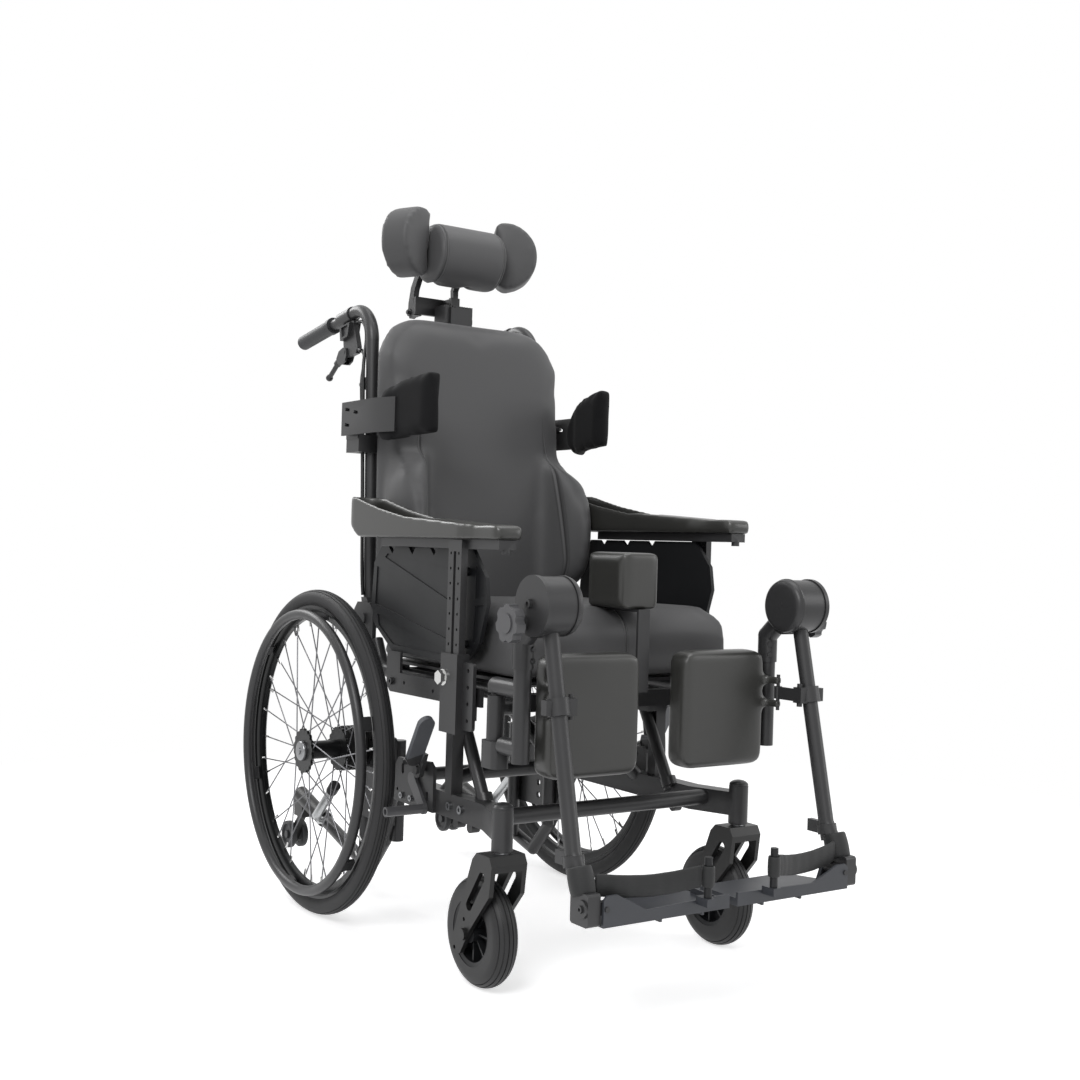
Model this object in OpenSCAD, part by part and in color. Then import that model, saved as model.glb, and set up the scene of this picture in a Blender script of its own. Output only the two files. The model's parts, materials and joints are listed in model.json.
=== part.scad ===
// Tilt-in-space wheelchair. The user's left is +X, the front is -Y, the floor is z = 0.
// Pieces are drawn on the left side (+X) with the rear axle over y = 0; side(-1) mirrors
// one to the right, and placed() moves the whole chair so its base is centred on the origin.

/* [Rear wheels] */
// Outer diameter of the rear tyre
tyre_d = 610; // [580:5:620]
// Thickness of the tyre's section
tyre_t = 34; // [28:1:38]
// Distance between the two wheel planes
track = 600; // [590:2:620]
// Depth of the rim, seat to nipples
rim_depth = 23; // [18:1:28]
// Width of the rim
rim_w = 24; // [20:1:28]
// Spokes in one rear wheel
spokes = 36; // [24:4:36]
// Diameter of a spoke
spoke_d = 2.4; // [2:0.2:3.2]
// Diameter of the hub flanges
flange_d = 87; // [70:1:95]
// Diameter of the quick-release axle
axle_d = 12; // [10:0.5:14]
// Diameter of the hub's brake drum
drum_d = 86; // [76:1:88]
// How far the handrim's mean circle lies inside the rim's edge
handrim_inset = 17; // [10:0.5:24]
// Diameter of the handrim's tube
handrim_t = 19; // [16:1:22]
// Distance of the handrim outside the wheel plane
handrim_out = 32; // [28:1:36]

/* [Casters] */
// Diameter of the caster wheel
caster_d = 176; // [150:2:180]
// Width of the caster wheel
caster_w = 44; // [36:1:46]
// Distance of the caster axle behind the stem
trail = 52; // [45:1:58]
// Distance between the two caster stems
stem_spread = 494; // [480:2:510]
// Distance of the stems in front of the rear axle
stem_front = 585; // [580:1:600]
// Diameter of the stem housing
housing_d = 34; // [30:1:38]
// Height of the underside of the stem housing
housing_z = 226; // [224:1:232]
// Length of the stem housing without its cap
housing_len = 68; // [60:1:76]

/* [Base frame] */
// Distance between the centre planes of the side rails
rail_spread = 430; // [424:2:436]
// Width of a side rail
rail_w = 30; // [24:1:32]
// Height of a side rail
rail_h = 41; // [36:1:46]
// Height of the side rails' centre line
rail_z = 261.5; // [258:0.5:264]
// Diameter of the front cross tube
cross_d = 27; // [22:1:30]
// Diameter of the arched cross tube and the brace tubes
brace_d = 25; // [22:1:28]
// Width of the square post that carries the seat's pivot
post_w = 22; // [18:1:24]
// Diameter of the slanted strut behind the caster
strut_d = 22; // [18:1:24]

/* [Seat] */
// Height of the tilt pivot
tilt_z = 440; // [436:1:446]
// Distance of the tilt pivot in front of the rear axle
tilt_front = 380; // [374:1:386]
// Diameter of the tilt pivot bolt
pivot_d = 12; // [10:1:14]
// Distance between the centres of the seat tubes
seat_tubes = 400; // [396:1:404]
// Diameter of the seat and back tubes
tube_d = 25; // [22:1:26]
// Width of the seat cushion
cushion_w = 460; // [430:5:464]
// Length of the seat cushion
cushion_len = 475; // [440:5:480]
// Thickness of the seat cushion
cushion_t = 112; // [80:2:118]
// Height of the seat board's top face
board_z = 488; // [484:1:492]

/* [Armrests] */
// Length of the arm pad
pad_len = 516; // [480:2:520]
// Width of the arm pad
pad_w = 68; // [56:1:70]
// Height of the arm pad's underside on the right
pad_z = 713; // [705:1:725]
// How much higher the left armrest is set
left_raise = 25; // [0:5:30]
// Thickness of the side panel
panel_t = 7; // [5:0.5:9]

/* [Back] */
// Distance between the back tubes
cane_spread = 380; // [376:1:384]
// Height of the recline hinge
hinge_z = 556; // [552:1:562]
// Lean of the back tubes
lean = 2.5; // [2:0.5:3]
// Height of the top of the back tubes' bend
bend_z = 1179; // [1150:1:1190]
// Width of the back cushion
back_w = 408; // [390:2:410]
// Height of the top of the back cushion
back_top = 1150; // [1110:1:1156]
// Diameter of the push grips
grip_d = 31; // [28:1:34]
// Length of the push grips
grip_len = 132; // [110:2:140]

/* [Headrest] */
// Diameter of the headrest roll
roll_d = 122; // [108:2:126]
// Length of the headrest roll
roll_len = 140; // [134:2:142]
// Height of the roll's axis
roll_z = 1288; // [1282:1:1296]
// Height of a side wing
wing_h = 134; // [120:2:136]

/* [Legrests] */
// Distance between the two legrests' swing pins
pin_spread = 508; // [504:1:512]
// Diameter of the legrest tubes
leg_tube_d = 25; // [22:1:26]
// Diameter of the hanger tubes
hanger_d = 28; // [25:1:30]
// Diameter of the elevation drum
knee_d = 92; // [80:2:96]
// Angle of the lower leg from vertical
leg_angle = 13; // [10:0.5:16]
// Length of the lower leg from the drum's centre
leg_len = 390; // [360:2:400]
// Height of a calf pad
calf_h = 195; // [170:5:200]
// Width of a calf pad
calf_w = 180; // [160:2:182]
// Thickness of a calf pad
calf_t = 47; // [36:1:48]
// Width of a footplate
plate_w = 236; // [220:2:238]
// Depth of a footplate
plate_depth = 114; // [100:2:114]

/* [Hidden] */
$fn = 40;
// Running clearance of every pin in its bore, on the radius
run = 0.05;
// Clearance between pieces on different bodies
gap = 0.6;
eps = 0.01;
FRAME = "#3b3c3e";
DARK = "#26272a";
GREY = "#5c5d60";
PU = "#4a4a46";
CLOTH = "#55565a";

wheel_u = track / 2;
axle_z = tyre_d / 2;
rim_r = tyre_d / 2 - tyre_t + 4;
hub_r = rim_r - rim_depth;
hub_in = wheel_u - 51;
hub_out = wheel_u + 26;
stem_u = stem_spread / 2;
caster_r = caster_d / 2;
caster_y = trail - stem_front;
rail_u = rail_spread / 2;
rail_top = rail_z + rail_h / 2;
rail_low = rail_z - rail_h / 2;
rail_rear = -62;
rail_front = -500;
seat_u = seat_tubes / 2;
seat_tube_z = tilt_z + 22;
tilt_y = -tilt_front;
cane_u = cane_spread / 2;
hinge_y = -10;
pin_u = pin_spread / 2;
pin_y = -566;
knee_y = -707;
knee_z = 617;
plate_y = -850;
plate_z = 171;
grip_end_y = 362;
// The chair reaches from the front of the heel posts to the ends of the grips
front_y = -875;
mid_y = (front_y + grip_end_y) / 2;

module placed() {
    translate([0, -mid_y, 0])
        children();
}

module side(s) {
    if (s > 0)
        children();
    else
        mirror([1, 0, 0])
            children();
}

module both() {
    side(1)
        children();
    side(-1)
        children();
}

// Cylinder from point a to point b
module bar(a, b, d) {
    v = b - a;
    length = norm(v);
    translate(a)
        rotate([0, acos(v.z / length), atan2(v.y, v.x)])
            cylinder(h = length, d = d);
}

// Round tube through a list of points, with ball joints at the bends
module run_tube(points, d) {
    for (i = [0 : len(points) - 2])
        bar(points[i], points[i + 1], d);
    for (i = [1 : 1 : len(points) - 2])
        translate(points[i])
            sphere(d = d + 0.5);
}

// Bend of a tube round (y, z) at radius r, from angle a, over sweep degrees; a hair thicker than the tube
module elbow(x, y, z, r, a, sweep, d) {
    translate([x, y, z])
        rotate([90, 0, 90])
            rotate(a)
                rotate_extrude(angle = sweep)
                    translate([r, 0])
                        circle(d = d + gap);
}

// Cylinder along X from x = a to x = b, centred on (y, z)
module lathe_x(a, b, y, z, d) {
    translate([a, y, z])
        rotate([0, 90, 0])
            cylinder(h = b - a, d = d);
}

// Plate in the YZ plane from x = a to x = b, from a list of (y, z) points
module plate_x(a, b) {
    translate([a, 0, 0])
        rotate([90, 0, 90])
            linear_extrude(b - a)
                children();
}

module plate_z(a, b) {
    translate([0, 0, a])
        linear_extrude(b - a)
            children();
}

// Points of an arc
function arc(c, r, a0, a1, n) =
    [for (i = [0 : n]) c + r * [cos(a0 + (a1 - a0) * i / n), sin(a0 + (a1 - a0) * i / n)]];

// Rounded rectangle from corner a to corner b, with corner radius r
function rounded(a, b, r, n = 5) = concat(
    arc([b.x - r, b.y - r], r, 0, 90, n), arc([a.x + r, b.y - r], r, 90, 180, n),
    arc([a.x + r, a.y + r], r, 180, 270, n), arc([b.x - r, a.y + r], r, 270, 360, n));

// Obround outline between two centres, of width w
module slot(a, b, w) {
    length = norm(b - a);
    translate(a)
        rotate(atan2(b.y - a.y, b.x - a.x)) {
            circle(d = w);
            translate([length, 0])
                circle(d = w);
            translate([0, -w / 2])
                square([length, w]);
        }
}

// Hex socket screw head standing out along +X at (y, z)
module screw_x(x, y, z, d = 12, h = 5) {
    difference() {
        lathe_x(x, x + h, y, z, d);
        translate([x + h - 3, y, z])
            rotate([0, 90, 0])
                cylinder(h = 4, d = d * 0.5, $fn = 6);
    }
}

// ---- Rear wheels ----

module about_axle() {
    translate([wheel_u, 0, axle_z])
        rotate([0, 90, 0])
            children();
}

module tyre(s) color(DARK) side(s) about_axle() {
    groove = 1.6;
    rotate_extrude($fn = 120)
        difference() {
            translate([tyre_d / 2 - tyre_t / 2, 0])
                circle(d = tyre_t);
            translate([0, -tyre_t])
                square([rim_r, 2 * tyre_t]);
            for (i = [-2 : 2])
                translate([tyre_d / 2 - tyre_t / 2, 0])
                    rotate(i * 19)
                        translate([tyre_t / 2, 0])
                            square([2 * groove, groove], center = true);
        }
}

function rim_half() = [[rim_r, 0], [rim_r, rim_w / 2], [rim_r - 5, rim_w / 2],
    [rim_r - 8, rim_w / 2 - 3], [hub_r + 4, rim_w / 2 - 5], [hub_r, rim_w / 2 - 8], [hub_r, 0]];

module wheel(s) color(DARK) side(s) about_axle() {
    up = hub_out - wheel_u;
    down = hub_in - wheel_u;
    ring = flange_d / 2 - 4;
    rotate_extrude($fn = 120)
        polygon(concat(rim_half(), [for (i = [5 : -1 : 1]) [rim_half()[i].x, -rim_half()[i].y]]));
    difference() {
        union() {
            translate([0, 0, down])
                cylinder(h = up - down, d = 34);
            for (z = [down, up - 5])
                translate([0, 0, z])
                    cylinder(h = 5, d = flange_d - 8);
            for (z = [down, up - 5], i = [0 : spokes / 2 - 1])
                rotate(i * 720 / spokes)
                    translate([flange_d / 2 - 7, 0, z - 0.1])
                        cylinder(h = 5.2, d = 11);
            translate([0, 0, down - 40])
                cylinder(h = 40 + eps, d = drum_d - 8);
            for (z = [down - 40 : 9.6 : down - 2])
                translate([0, 0, z])
                    cylinder(h = 5, d = drum_d);
        }
        translate([0, 0, down - 41])
            cylinder(h = up - down + 50, d = axle_d + 2 * run);
    }
    for (f = [0, 1], i = [0 : spokes / 2 - 1]) {
        lay = (i % 2 == 0 ? 1 : -1) * 62;
        at = (i + f / 2) * 720 / spokes;
        from = [ring * cos(at), ring * sin(at), (f == 0 ? up - 2.5 : down + 2.5)];
        to = [(hub_r + 3) * cos(at + lay * 0.62), (hub_r + 3) * sin(at + lay * 0.62), f == 0 ? 3 : -3];
        bar(from, to, spoke_d);
    }
}

module handrim(s) color(DARK) side(s) about_axle() {
    rotate_extrude($fn = 120)
        translate([rim_r - handrim_inset, handrim_out])
            circle(d = handrim_t);
    for (i = [0 : 5])
        rotate(i * 60 + 12)
            translate([0, 0, rim_w / 2 + eps])
                linear_extrude(handrim_out - rim_w / 2)
                    polygon(rounded([rim_r - handrim_inset, -13], [rim_r - 8, 13], 3));
}

module rear_axles() color(GREY) both() {
    lathe_x(plate_u - 22, hub_out + 1, 0, axle_z, axle_d);
    translate([hub_out + 0.6, 0, axle_z])
        rotate([0, 90, 0])
            rotate_extrude()
                polygon(concat([[0, 0], [19, 0], [19, 3]], arc([15, 3], 4, 0, 90, 4), [[7, 7], [7, 9],
                    [0, 9]]));
}

// ---- Casters ----

module caster_fork(s) color(DARK) side(s) {
    crown = housing_z - 3.4;
    plate = 8;
    inner = caster_w / 2 + 3;
    difference() {
        union() {
            translate([stem_u, -stem_front, crown - 1])
                cylinder(h = housing_len - 6, d = 12);
            difference() {
                plate_x(stem_u - inner - plate, stem_u + inner + plate)
                    polygon([[-stem_front - 24, crown - 14], [-stem_front - 16, crown],
                        [-stem_front + 22, crown], [-stem_front + 34, crown - 12],
                        [caster_y + 14, caster_r + 44], [caster_y + 42, caster_r - 26],
                        [caster_y + 30, caster_r - 36], [caster_y + 12, caster_r - 34],
                        [caster_y - 16, caster_r + 10], [-stem_front - 18, crown - 62]]);
                plate_x(stem_u - inner, stem_u + inner)
                    polygon([[-stem_front - 60, 0], [-stem_front + 130, 0],
                        [-stem_front + 130, crown - 25], [-stem_front - 60, crown - 25]]);
            }
        }
        plate_x(stem_u - 60, stem_u + 60)
            slot([-stem_front + 5, crown - 36], [caster_y - 12, caster_r + 48], 17);
        for (p = [[caster_y + 2, caster_r + 23], [caster_y + 29, caster_r - 28]])
            lathe_x(stem_u - 60, stem_u + 60, p[0], p[1], 6.5);
    }
    lathe_x(stem_u - inner - plate - 3, stem_u + inner + plate + 3, caster_y, caster_r, 11.9);
    for (x = [stem_u - inner - plate - 6, stem_u + inner + plate])
        lathe_x(x, x + 6, caster_y, caster_r, 19);
}

module caster_wheel(s) color(DARK) side(s) translate([stem_u, caster_y, caster_r]) rotate([0, 90, 0]) {
    web = 30;
    difference() {
        union() {
            rotate_extrude($fn = 90)
                difference() {
                    union() {
                        translate([caster_r - 22, 0])
                            circle(d = caster_w);
                        translate([53, -caster_w / 2])
                            square([caster_r - 53 - 22, caster_w]);
                    }
                    for (i = [-2.5 : 2.5])
                        translate([caster_r - 22, 0])
                            rotate(i * 20)
                                translate([22, 0])
                                    square([3.4, 1.8], center = true);
                }
            rotate_extrude($fn = 60)
                polygon([[46, -caster_w / 2 + 3], [53, -caster_w / 2 + 1], [53, caster_w / 2 - 1],
                    [46, caster_w / 2 - 3]]);
            cylinder(h = caster_w + 4, d = 30, center = true);
            cylinder(h = 5, d = 100, center = true);
            for (i = [0 : 7])
                rotate(i * 45)
                    translate([13, -1.6, -web / 2])
                        cube([36, 3.2, web]);
        }
        cylinder(h = caster_w + 10, d = 12 + 2 * run, center = true);
    }
}

// ---- Base frame ----

post_y = tilt_y - 5;
brace_u = 190;
plate_u = hub_in - 59;
axle_post_u = plate_u - 17;
spring_y = -340;
spring_z = 336;
lever_y = -312;
lever_z = 312;
shoe_y = -275;
shoe_z = 290;
bracket_u = rail_u + rail_w / 2;
bracket_t = 6;
low_y = -25;
low_z = 74;
// The lower brace rises to the rear by this much for each millimetre of run
rise = 0.265;

function brace_at(y) = [brace_u, y, low_z + (y - low_y) * rise];

module stem_housing() {
    dome = housing_z + housing_len;
    difference() {
        translate([stem_u, -stem_front, 0])
            rotate_extrude()
                polygon(concat([[0, housing_z], [housing_d / 2 - 1, housing_z],
                    [housing_d / 2, housing_z + 1],
                    [housing_d / 2, dome - 1], [housing_d / 2 - 0.8, dome - 1],
                        [housing_d / 2 - 0.8, dome]],
                    [for (a = [10 : 16 : 90]) [(housing_d / 2) * cos(a), dome + 9 * sin(a)]]));
        translate([stem_u, -stem_front, housing_z - 1])
            cylinder(h = housing_len - 4, d = 12 + 2 * run);
    }
}

module rail() {
    in = rail_u - rail_w / 2;
    out = rail_u + rail_w / 2;
    plate_z(rail_low, rail_top)
        polygon([[in, rail_rear], [in, rail_front - 6], [stem_u - 14, -stem_front - 6],
            [stem_u + 12, -stem_front + 6], [out, rail_front + 4], [out, rail_rear]]);
}

module pivot_post() {
    top = tilt_z - 10;
    translate([rail_u + 5 - post_w / 2, post_y - post_w / 2, rail_top - 2])
        cube([post_w, post_w, top - rail_top + 2]);
    translate([seat_u - 14, tilt_y - 18, top - 26])
        cube([rail_u + 5 + post_w / 2 - seat_u + 14, 46, 26]);
    difference() {
        plate_x(seat_u + tube_d / 2 + 3, seat_u + tube_d / 2 + 13)
            polygon(concat([[tilt_y - 18, top - 8], [tilt_y + 18, top - 8]], arc([tilt_y, tilt_z],
                17, 0, 180, 10)));
        lathe_x(seat_u, rail_u + 30, tilt_y, tilt_z, pivot_d + 2 * run);
    }
    bar([198, tilt_y + 13, top - 12], [198, -455, rail_top - 14], strut_d);
    translate([198, -455, rail_top - 8])
        rotate([-30, 0, 0])
            cylinder(h = 16, d = strut_d + 7);
}

module axle_carrier() {
    for (y = [30, -100])
        translate([axle_post_u, y, y > 0 ? 92 : 140])
            cylinder(h = 330 - (y > 0 ? 92 : 140), d = brace_d);
    difference() {
        union() {
            plate_x(plate_u - 6, plate_u)
                polygon(rounded([-112, 168], [42, 336], 8));
            lathe_x(axle_post_u - 6, plate_u + 4, 0, axle_z, 34);
            lathe_x(plate_u, hub_in - 43.5, 0, axle_z, 30);
            lathe_x(hub_in - 50, hub_in - 43.5, 0, axle_z, drum_d - 4);
            plate_x(hub_in - 50, hub_in - 45)
                polygon(rounded([-44, axle_z + 20], [-18, axle_z + 62], 6));
        }
        lathe_x(axle_post_u - 10, hub_in, 0, axle_z, axle_d + 2 * run);
        for (y = [-74, -46], z = [190 : 26 : 300])
            lathe_x(plate_u - 10, plate_u + 2, y, z, 13);
    }
    translate([plate_u - 8, -112, rail_low])
        cube([rail_u - plate_u + 8, 52, rail_h]);
    run_tube([[rail_u - 10, -139, rail_low + 10], [brace_u, -84, 138], brace_at(low_y), brace_at(180)],
        brace_d);
    bar(brace_at(170), brace_at(236), brace_d - 6);
}

module brake_bracket() {
    difference() {
        plate_x(bracket_u - eps, bracket_u + bracket_t)
            polygon([[-343, rail_low], [-200, rail_low], [-200, 300], [-214, 319], [-330, 327],
                [-343, 316]]);
        plate_x(bracket_u - 1, bracket_u + bracket_t + 1) {
            slot([-232, 296], [-232, 306], 9);
            slot([-322, 262], [-322, 270], 9);
        }
        for (p = [[-214, 262], [-300, 258]])
            lathe_x(bracket_u - 1, bracket_u + bracket_t + 1, p[0], p[1], 6);
        lathe_x(bracket_u - 2, bracket_u + bracket_t + 2, lever_y, lever_z, 8 + 2 * run);
        lathe_x(bracket_u - 2, bracket_u + bracket_t + 2, shoe_y, shoe_z, 8 + 2 * run);
    }
}

module base_frame() color(FRAME) {
    both() {
        difference() {
            rail();
            translate([stem_u, -stem_front, housing_z - 1])
                cylinder(h = housing_len + 1, d = housing_d - 2);
        }
        stem_housing();
        pivot_post();
        axle_carrier();
        brake_bracket();
        for (y = [-449, -403])
            lathe_x(rail_u - 6, rail_u + 10, y, rail_low - 6, 18);
        difference() {
            plate_x(10.5, 15.5)
                polygon(concat([[spring_y - 12, 308], [spring_y + 12, 308]],
                    arc([spring_y, spring_z], 12, 0, 180, 8)));
            lathe_x(5, 25, spring_y, spring_z, 10 + 2 * run);
        }
    }
    lathe_x(-rail_u - 6, rail_u + 6, -530, rail_z + 5, cross_d);
    run_tube([[-rail_u, spring_y, rail_top - 12], [-rail_u + 30, spring_y, 298], [-152, spring_y, 305],
        [152, spring_y, 305], [rail_u - 30, spring_y, 298], [rail_u, spring_y, rail_top - 12]], brace_d);
    lathe_x(-axle_post_u, axle_post_u, -100, rail_z, brace_d);
}

module frame_bolts() color("#9a9ca0") both() {
    difference() {
        translate([stem_u, -stem_front, housing_z - 3.1])
            cylinder(h = 3.1, d = 25);
        translate([stem_u, -stem_front, housing_z - 4])
            cylinder(h = 6, d = 12 + 4 * run);
    }
    for (y = [-429, -392])
        screw_x(rail_u + rail_w / 2, y, rail_z, 14, 5);
    for (y = [-266, -232])
        screw_x(bracket_u + bracket_t, y, rail_z - 8, 11, 4);
}

module kerb_tubes() color("#c9cbcc") both() {
    low = [brace_u + 24, 172, 140];
    top = [brace_u + 24, 100, 206];
    bar(low, top, 19);
    bar(top - (top - low) * 0.05, top + (top - low) * 0.16, 23);
    lathe_x(brace_u + 13, brace_u + 24, 166, 132, 14);
    bar([brace_u + 24, 166, 132], [brace_u + 24, 164, 148], 12);
}

// ---- Parking brakes ----

module parking_lever(s) color(GREY) side(s) {
    in = bracket_u + bracket_t + 8;
    lathe_x(bracket_u - 1, in + 2, lever_y, lever_z, 8);
    lathe_x(in, in + 9, lever_y, lever_z, 28);
    lathe_x(in + 9, in + 12, lever_y, lever_z, 15);
    plate_x(in, in + 7)
        polygon([[lever_y - 12, lever_z - 4], [lever_y + 13, lever_z + 2], [lever_y + 4, lever_z + 34],
            [lever_y - 26, lever_z + 30]]);
    translate([in + 20, lever_y - 8, lever_z + 26])
        rotate([121, 0, 0])
            linear_extrude(9)
                slot([0, 0], [0, 72], 30);
    bar([in + 4, lever_y + 2, lever_z + 18], [in + 14, lever_y + 30, lever_z + 10], 14);
}

module parking_shoe(s) color(DARK) side(s) {
    in = bracket_u + bracket_t + gap;
    lathe_x(bracket_u - 1, in + 2, shoe_y, shoe_z, 8);
    plate_x(in, in + 6) {
        hull() {
            translate([shoe_y, shoe_z])
                circle(d = 24);
            translate([-318, 245])
                circle(d = 20);
        }
    }
    difference() {
        lathe_x(in + 1, 314, -318, 245, 17);
        lathe_x(306, 315, -318, 245, 10);
    }
}

// ---- Anti-tippers ----

tip_y = 330;
tip_z = 72;
tip_wheel_d = 57;

module anti_tipper(s) color(DARK) side(s) {
    end = brace_at(306);
    difference() {
        union() {
            bar(brace_at(182), end, brace_d + 8);
            plate_x(brace_u - 6, brace_u + 6)
                polygon([[262, 146], [300, 166], [307, 152], [307, 112], [tip_y + 12, tip_z + 6],
                    [tip_y + 6, tip_z - 11],
                    [tip_y - 8, tip_z - 11], [tip_y - 26, tip_z + 24]]);
            translate([brace_u - 13, 268, 118])
                cube([26, 40, 44]);
        }
        bar(brace_at(181), brace_at(238), brace_d - 6 + 2 * run);
        lathe_x(brace_u - 10, brace_u + 10, tip_y, tip_z, 8 + 2 * run);
        translate([brace_u, 290, 132])
            rotate([-90, 0, 0])
                cylinder(h = 30, d = 12 + 2 * run);
    }
}

module anti_tip_wheels(s) color(GREY) side(s) translate([brace_u, tip_y, tip_z]) rotate([0, 90, 0]) {
    cylinder(h = 40, d = 8, center = true);
    for (m = [0, 1])
        mirror([0, 0, m])
            translate([0, 0, 6 + gap])
                rotate_extrude()
                    polygon(concat([[0, 0], [12, 0], [14, 3], [20, 3], [22, 0]],
                        arc([tip_wheel_d / 2 - 3, 3], 3, -90, 0, 3), arc([tip_wheel_d / 2 - 3, 10],
                            3, 0, 90, 3),
                        [[22, 13], [20, 9], [9, 9], [8, 14], [0, 14]]));
}

module release_button(s) color("#c8232c") side(s) translate([brace_u, 296.2, 132]) rotate([-90, 0, 0]) {
    cylinder(h = 17, d = 12);
    translate([0, 0, 17 - eps])
        rotate_extrude()
            polygon([[0, 0], [8, 0], [8.5, 3], [6, 6], [0, 6.5]]);
}

// ---- Tilt spring: its cylinder is pinned to the base, its rod to the seat ----

spring_foot = [0, spring_y, spring_z];
spring_head = [0, -80, 470];
spring_len = norm(spring_head - spring_foot);

module along_spring() {
    translate(spring_foot)
        rotate([atan2(spring_head.z - spring_foot.z, spring_head.y - spring_foot.y), 0, 0])
            rotate([-90, 0, 0])
                children();
}

module tilt_cylinder() color(DARK) along_spring() {
    difference() {
        union() {
            rotate([0, 90, 0])
                cylinder(h = 20, d = 22, center = true);
            cylinder(h = 24, d = 16);
            translate([0, 0, 22])
                cylinder(h = 146, d = 27);
            translate([0, 0, 168 - eps])
                cylinder(h = 8, d1 = 27, d2 = 22);
        }
        translate([0, 0, 60])
            cylinder(h = 150, d = 10 + 2 * run);
    }
    rotate([0, 90, 0])
        cylinder(h = 34, d = 10, center = true);
}

module tilt_rod() color("#b9bbbe") along_spring() {
    translate([0, 0, 118])
        cylinder(h = spring_len - 118 - 6, d = 10);
    translate([0, 0, spring_len])
        rotate([0, 90, 0])
            cylinder(h = 16, d = 22, center = true);
    translate([0, 0, spring_len])
        rotate([0, 90, 0])
            cylinder(h = 34, d = 10, center = true);
}

// ---- Seat ----

arm_u = 262;
board_t = 5;
cushion_front = -585;
cushion_rear = cushion_front + cushion_len;
receiver_y = -448;
receiver_top = 525;
receiver_low = 395;
post_wide = 42;
post_thick = 12;
tongue_z = 469;
tongue_w = 24;
tongue_t = 5;
hinge_plate = seat_u + 4;
hanger_y = -640;
upper_stub = 484;
lower_stub = 393;

module seat_side() {
    bend = 50;
    turn = 60;
    knee = [seat_u, -105 + bend * sin(turn), seat_tube_z + bend * (1 - cos(turn))];
    bar([seat_u, -566, seat_tube_z], [seat_u, -103, seat_tube_z], tube_d);
    elbow(seat_u, -105, seat_tube_z + bend, bend, -90, turn, tube_d);
    bar(knee - 2 * [0, cos(turn), sin(turn)], knee + 34 * [0, cos(turn), sin(turn)], tube_d);
    difference() {
        plate_x(hinge_plate, hinge_plate + 8)
            polygon([[-49, 512], [-49, 572], [-34, 587], [18, 587], [32, 572], [32, 534], [14, 512],
                [-30, 500]]);
        lathe_x(hinge_plate - 5, hinge_plate + 12, hinge_y, hinge_z, 12 + 2 * run);
    }
    difference() {
        plate_x(243, 248)
            polygon([[-511, 442], [-390, 438], [-196, 436], [-182, 446], [-182, 509], [-232, 509],
                [-232, 472],
                [-511, 472]]);
        for (p = [[-249, 456], [-353, 452]])
            lathe_x(240, 250, p[0], p[1], 7);
    }
    lathe_x(seat_u, 244, -300, 455, 18);
    lathe_x(seat_u, 244, -203, 455, 18);
    lathe_x(seat_u, 246, tilt_y, tilt_z, pivot_d);
    lathe_x(seat_u - 6, seat_u + 8, tilt_y, tilt_z, 18);
    translate([seat_u - 6, tilt_y - 9, tilt_z])
        cube([14, 18, 14]);
    for (m = [-1, 1])
        lathe_x(247, 252, receiver_y + m * 14, 456, 16);
    screw_x(248, -203, 455, 13, 5);
}

module post_receiver() {
    wall = 5;
    wide = post_wide + 2 * gap;
    thick = post_thick + 2 * gap;
    difference() {
        translate([arm_u - thick / 2 - wall, receiver_y - wide / 2 - wall, receiver_low])
            cube([thick + 2 * wall, wide + 2 * wall, receiver_top - receiver_low]);
        translate([arm_u - thick / 2, receiver_y - wide / 2, receiver_low - 1])
            cube([thick, wide, receiver_top - receiver_low + 2]);
    }
    difference() {
        plate_x(arm_u - 6, arm_u)
            polygon(rounded([receiver_y - wide / 2 - 38, receiver_low + 8], [receiver_y - wide / 2 - 3,
                receiver_top - 12], 6));
        for (z = [receiver_low + 24 : 27 : receiver_top - 20])
            lathe_x(arm_u - 8, arm_u + 2, receiver_y - wide / 2 - 22, z, 7);
    }
    translate([arm_u + thick / 2 + wall, receiver_y + 14, 485])
        rotate([0, 90, 0]) {
            cylinder(h = 3, d = 27);
            translate([0, 0, 3 - eps])
                cylinder(h = 9, d = 24, $fn = 6);
        }
}

module legrest_socket() {
    low = 355;
    top = upper_stub - 15;
    difference() {
        union() {
            translate([pin_u, pin_y, low + 4])
                cylinder(h = top - low - 4, d = hanger_d);
            plate_z(low, low + 43)
                polygon(rounded([pin_u - 16, pin_y - 23], [pin_u + 16, pin_y + 21], 10));
            lathe_x(seat_u, pin_u, pin_y, seat_tube_z - 13, tube_d);
        }
        translate([pin_u, pin_y, low + 50])
            cylinder(h = 200, d = 16 + 2 * run);
        translate([pin_u - 9, pin_y - 24, low + 26])
            cube([18, 9, 40]);
    }
}

module tongue_socket() {
    difference() {
        translate([-tongue_w / 2 - 5, -556, tongue_z - 4])
            cube([tongue_w + 10, 80, 12.5]);
        translate([-tongue_w / 2 - gap, -557, tongue_z - gap])
            cube([tongue_w + 2 * gap, 82, tongue_t + 2 * gap]);
    }
}

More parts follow.
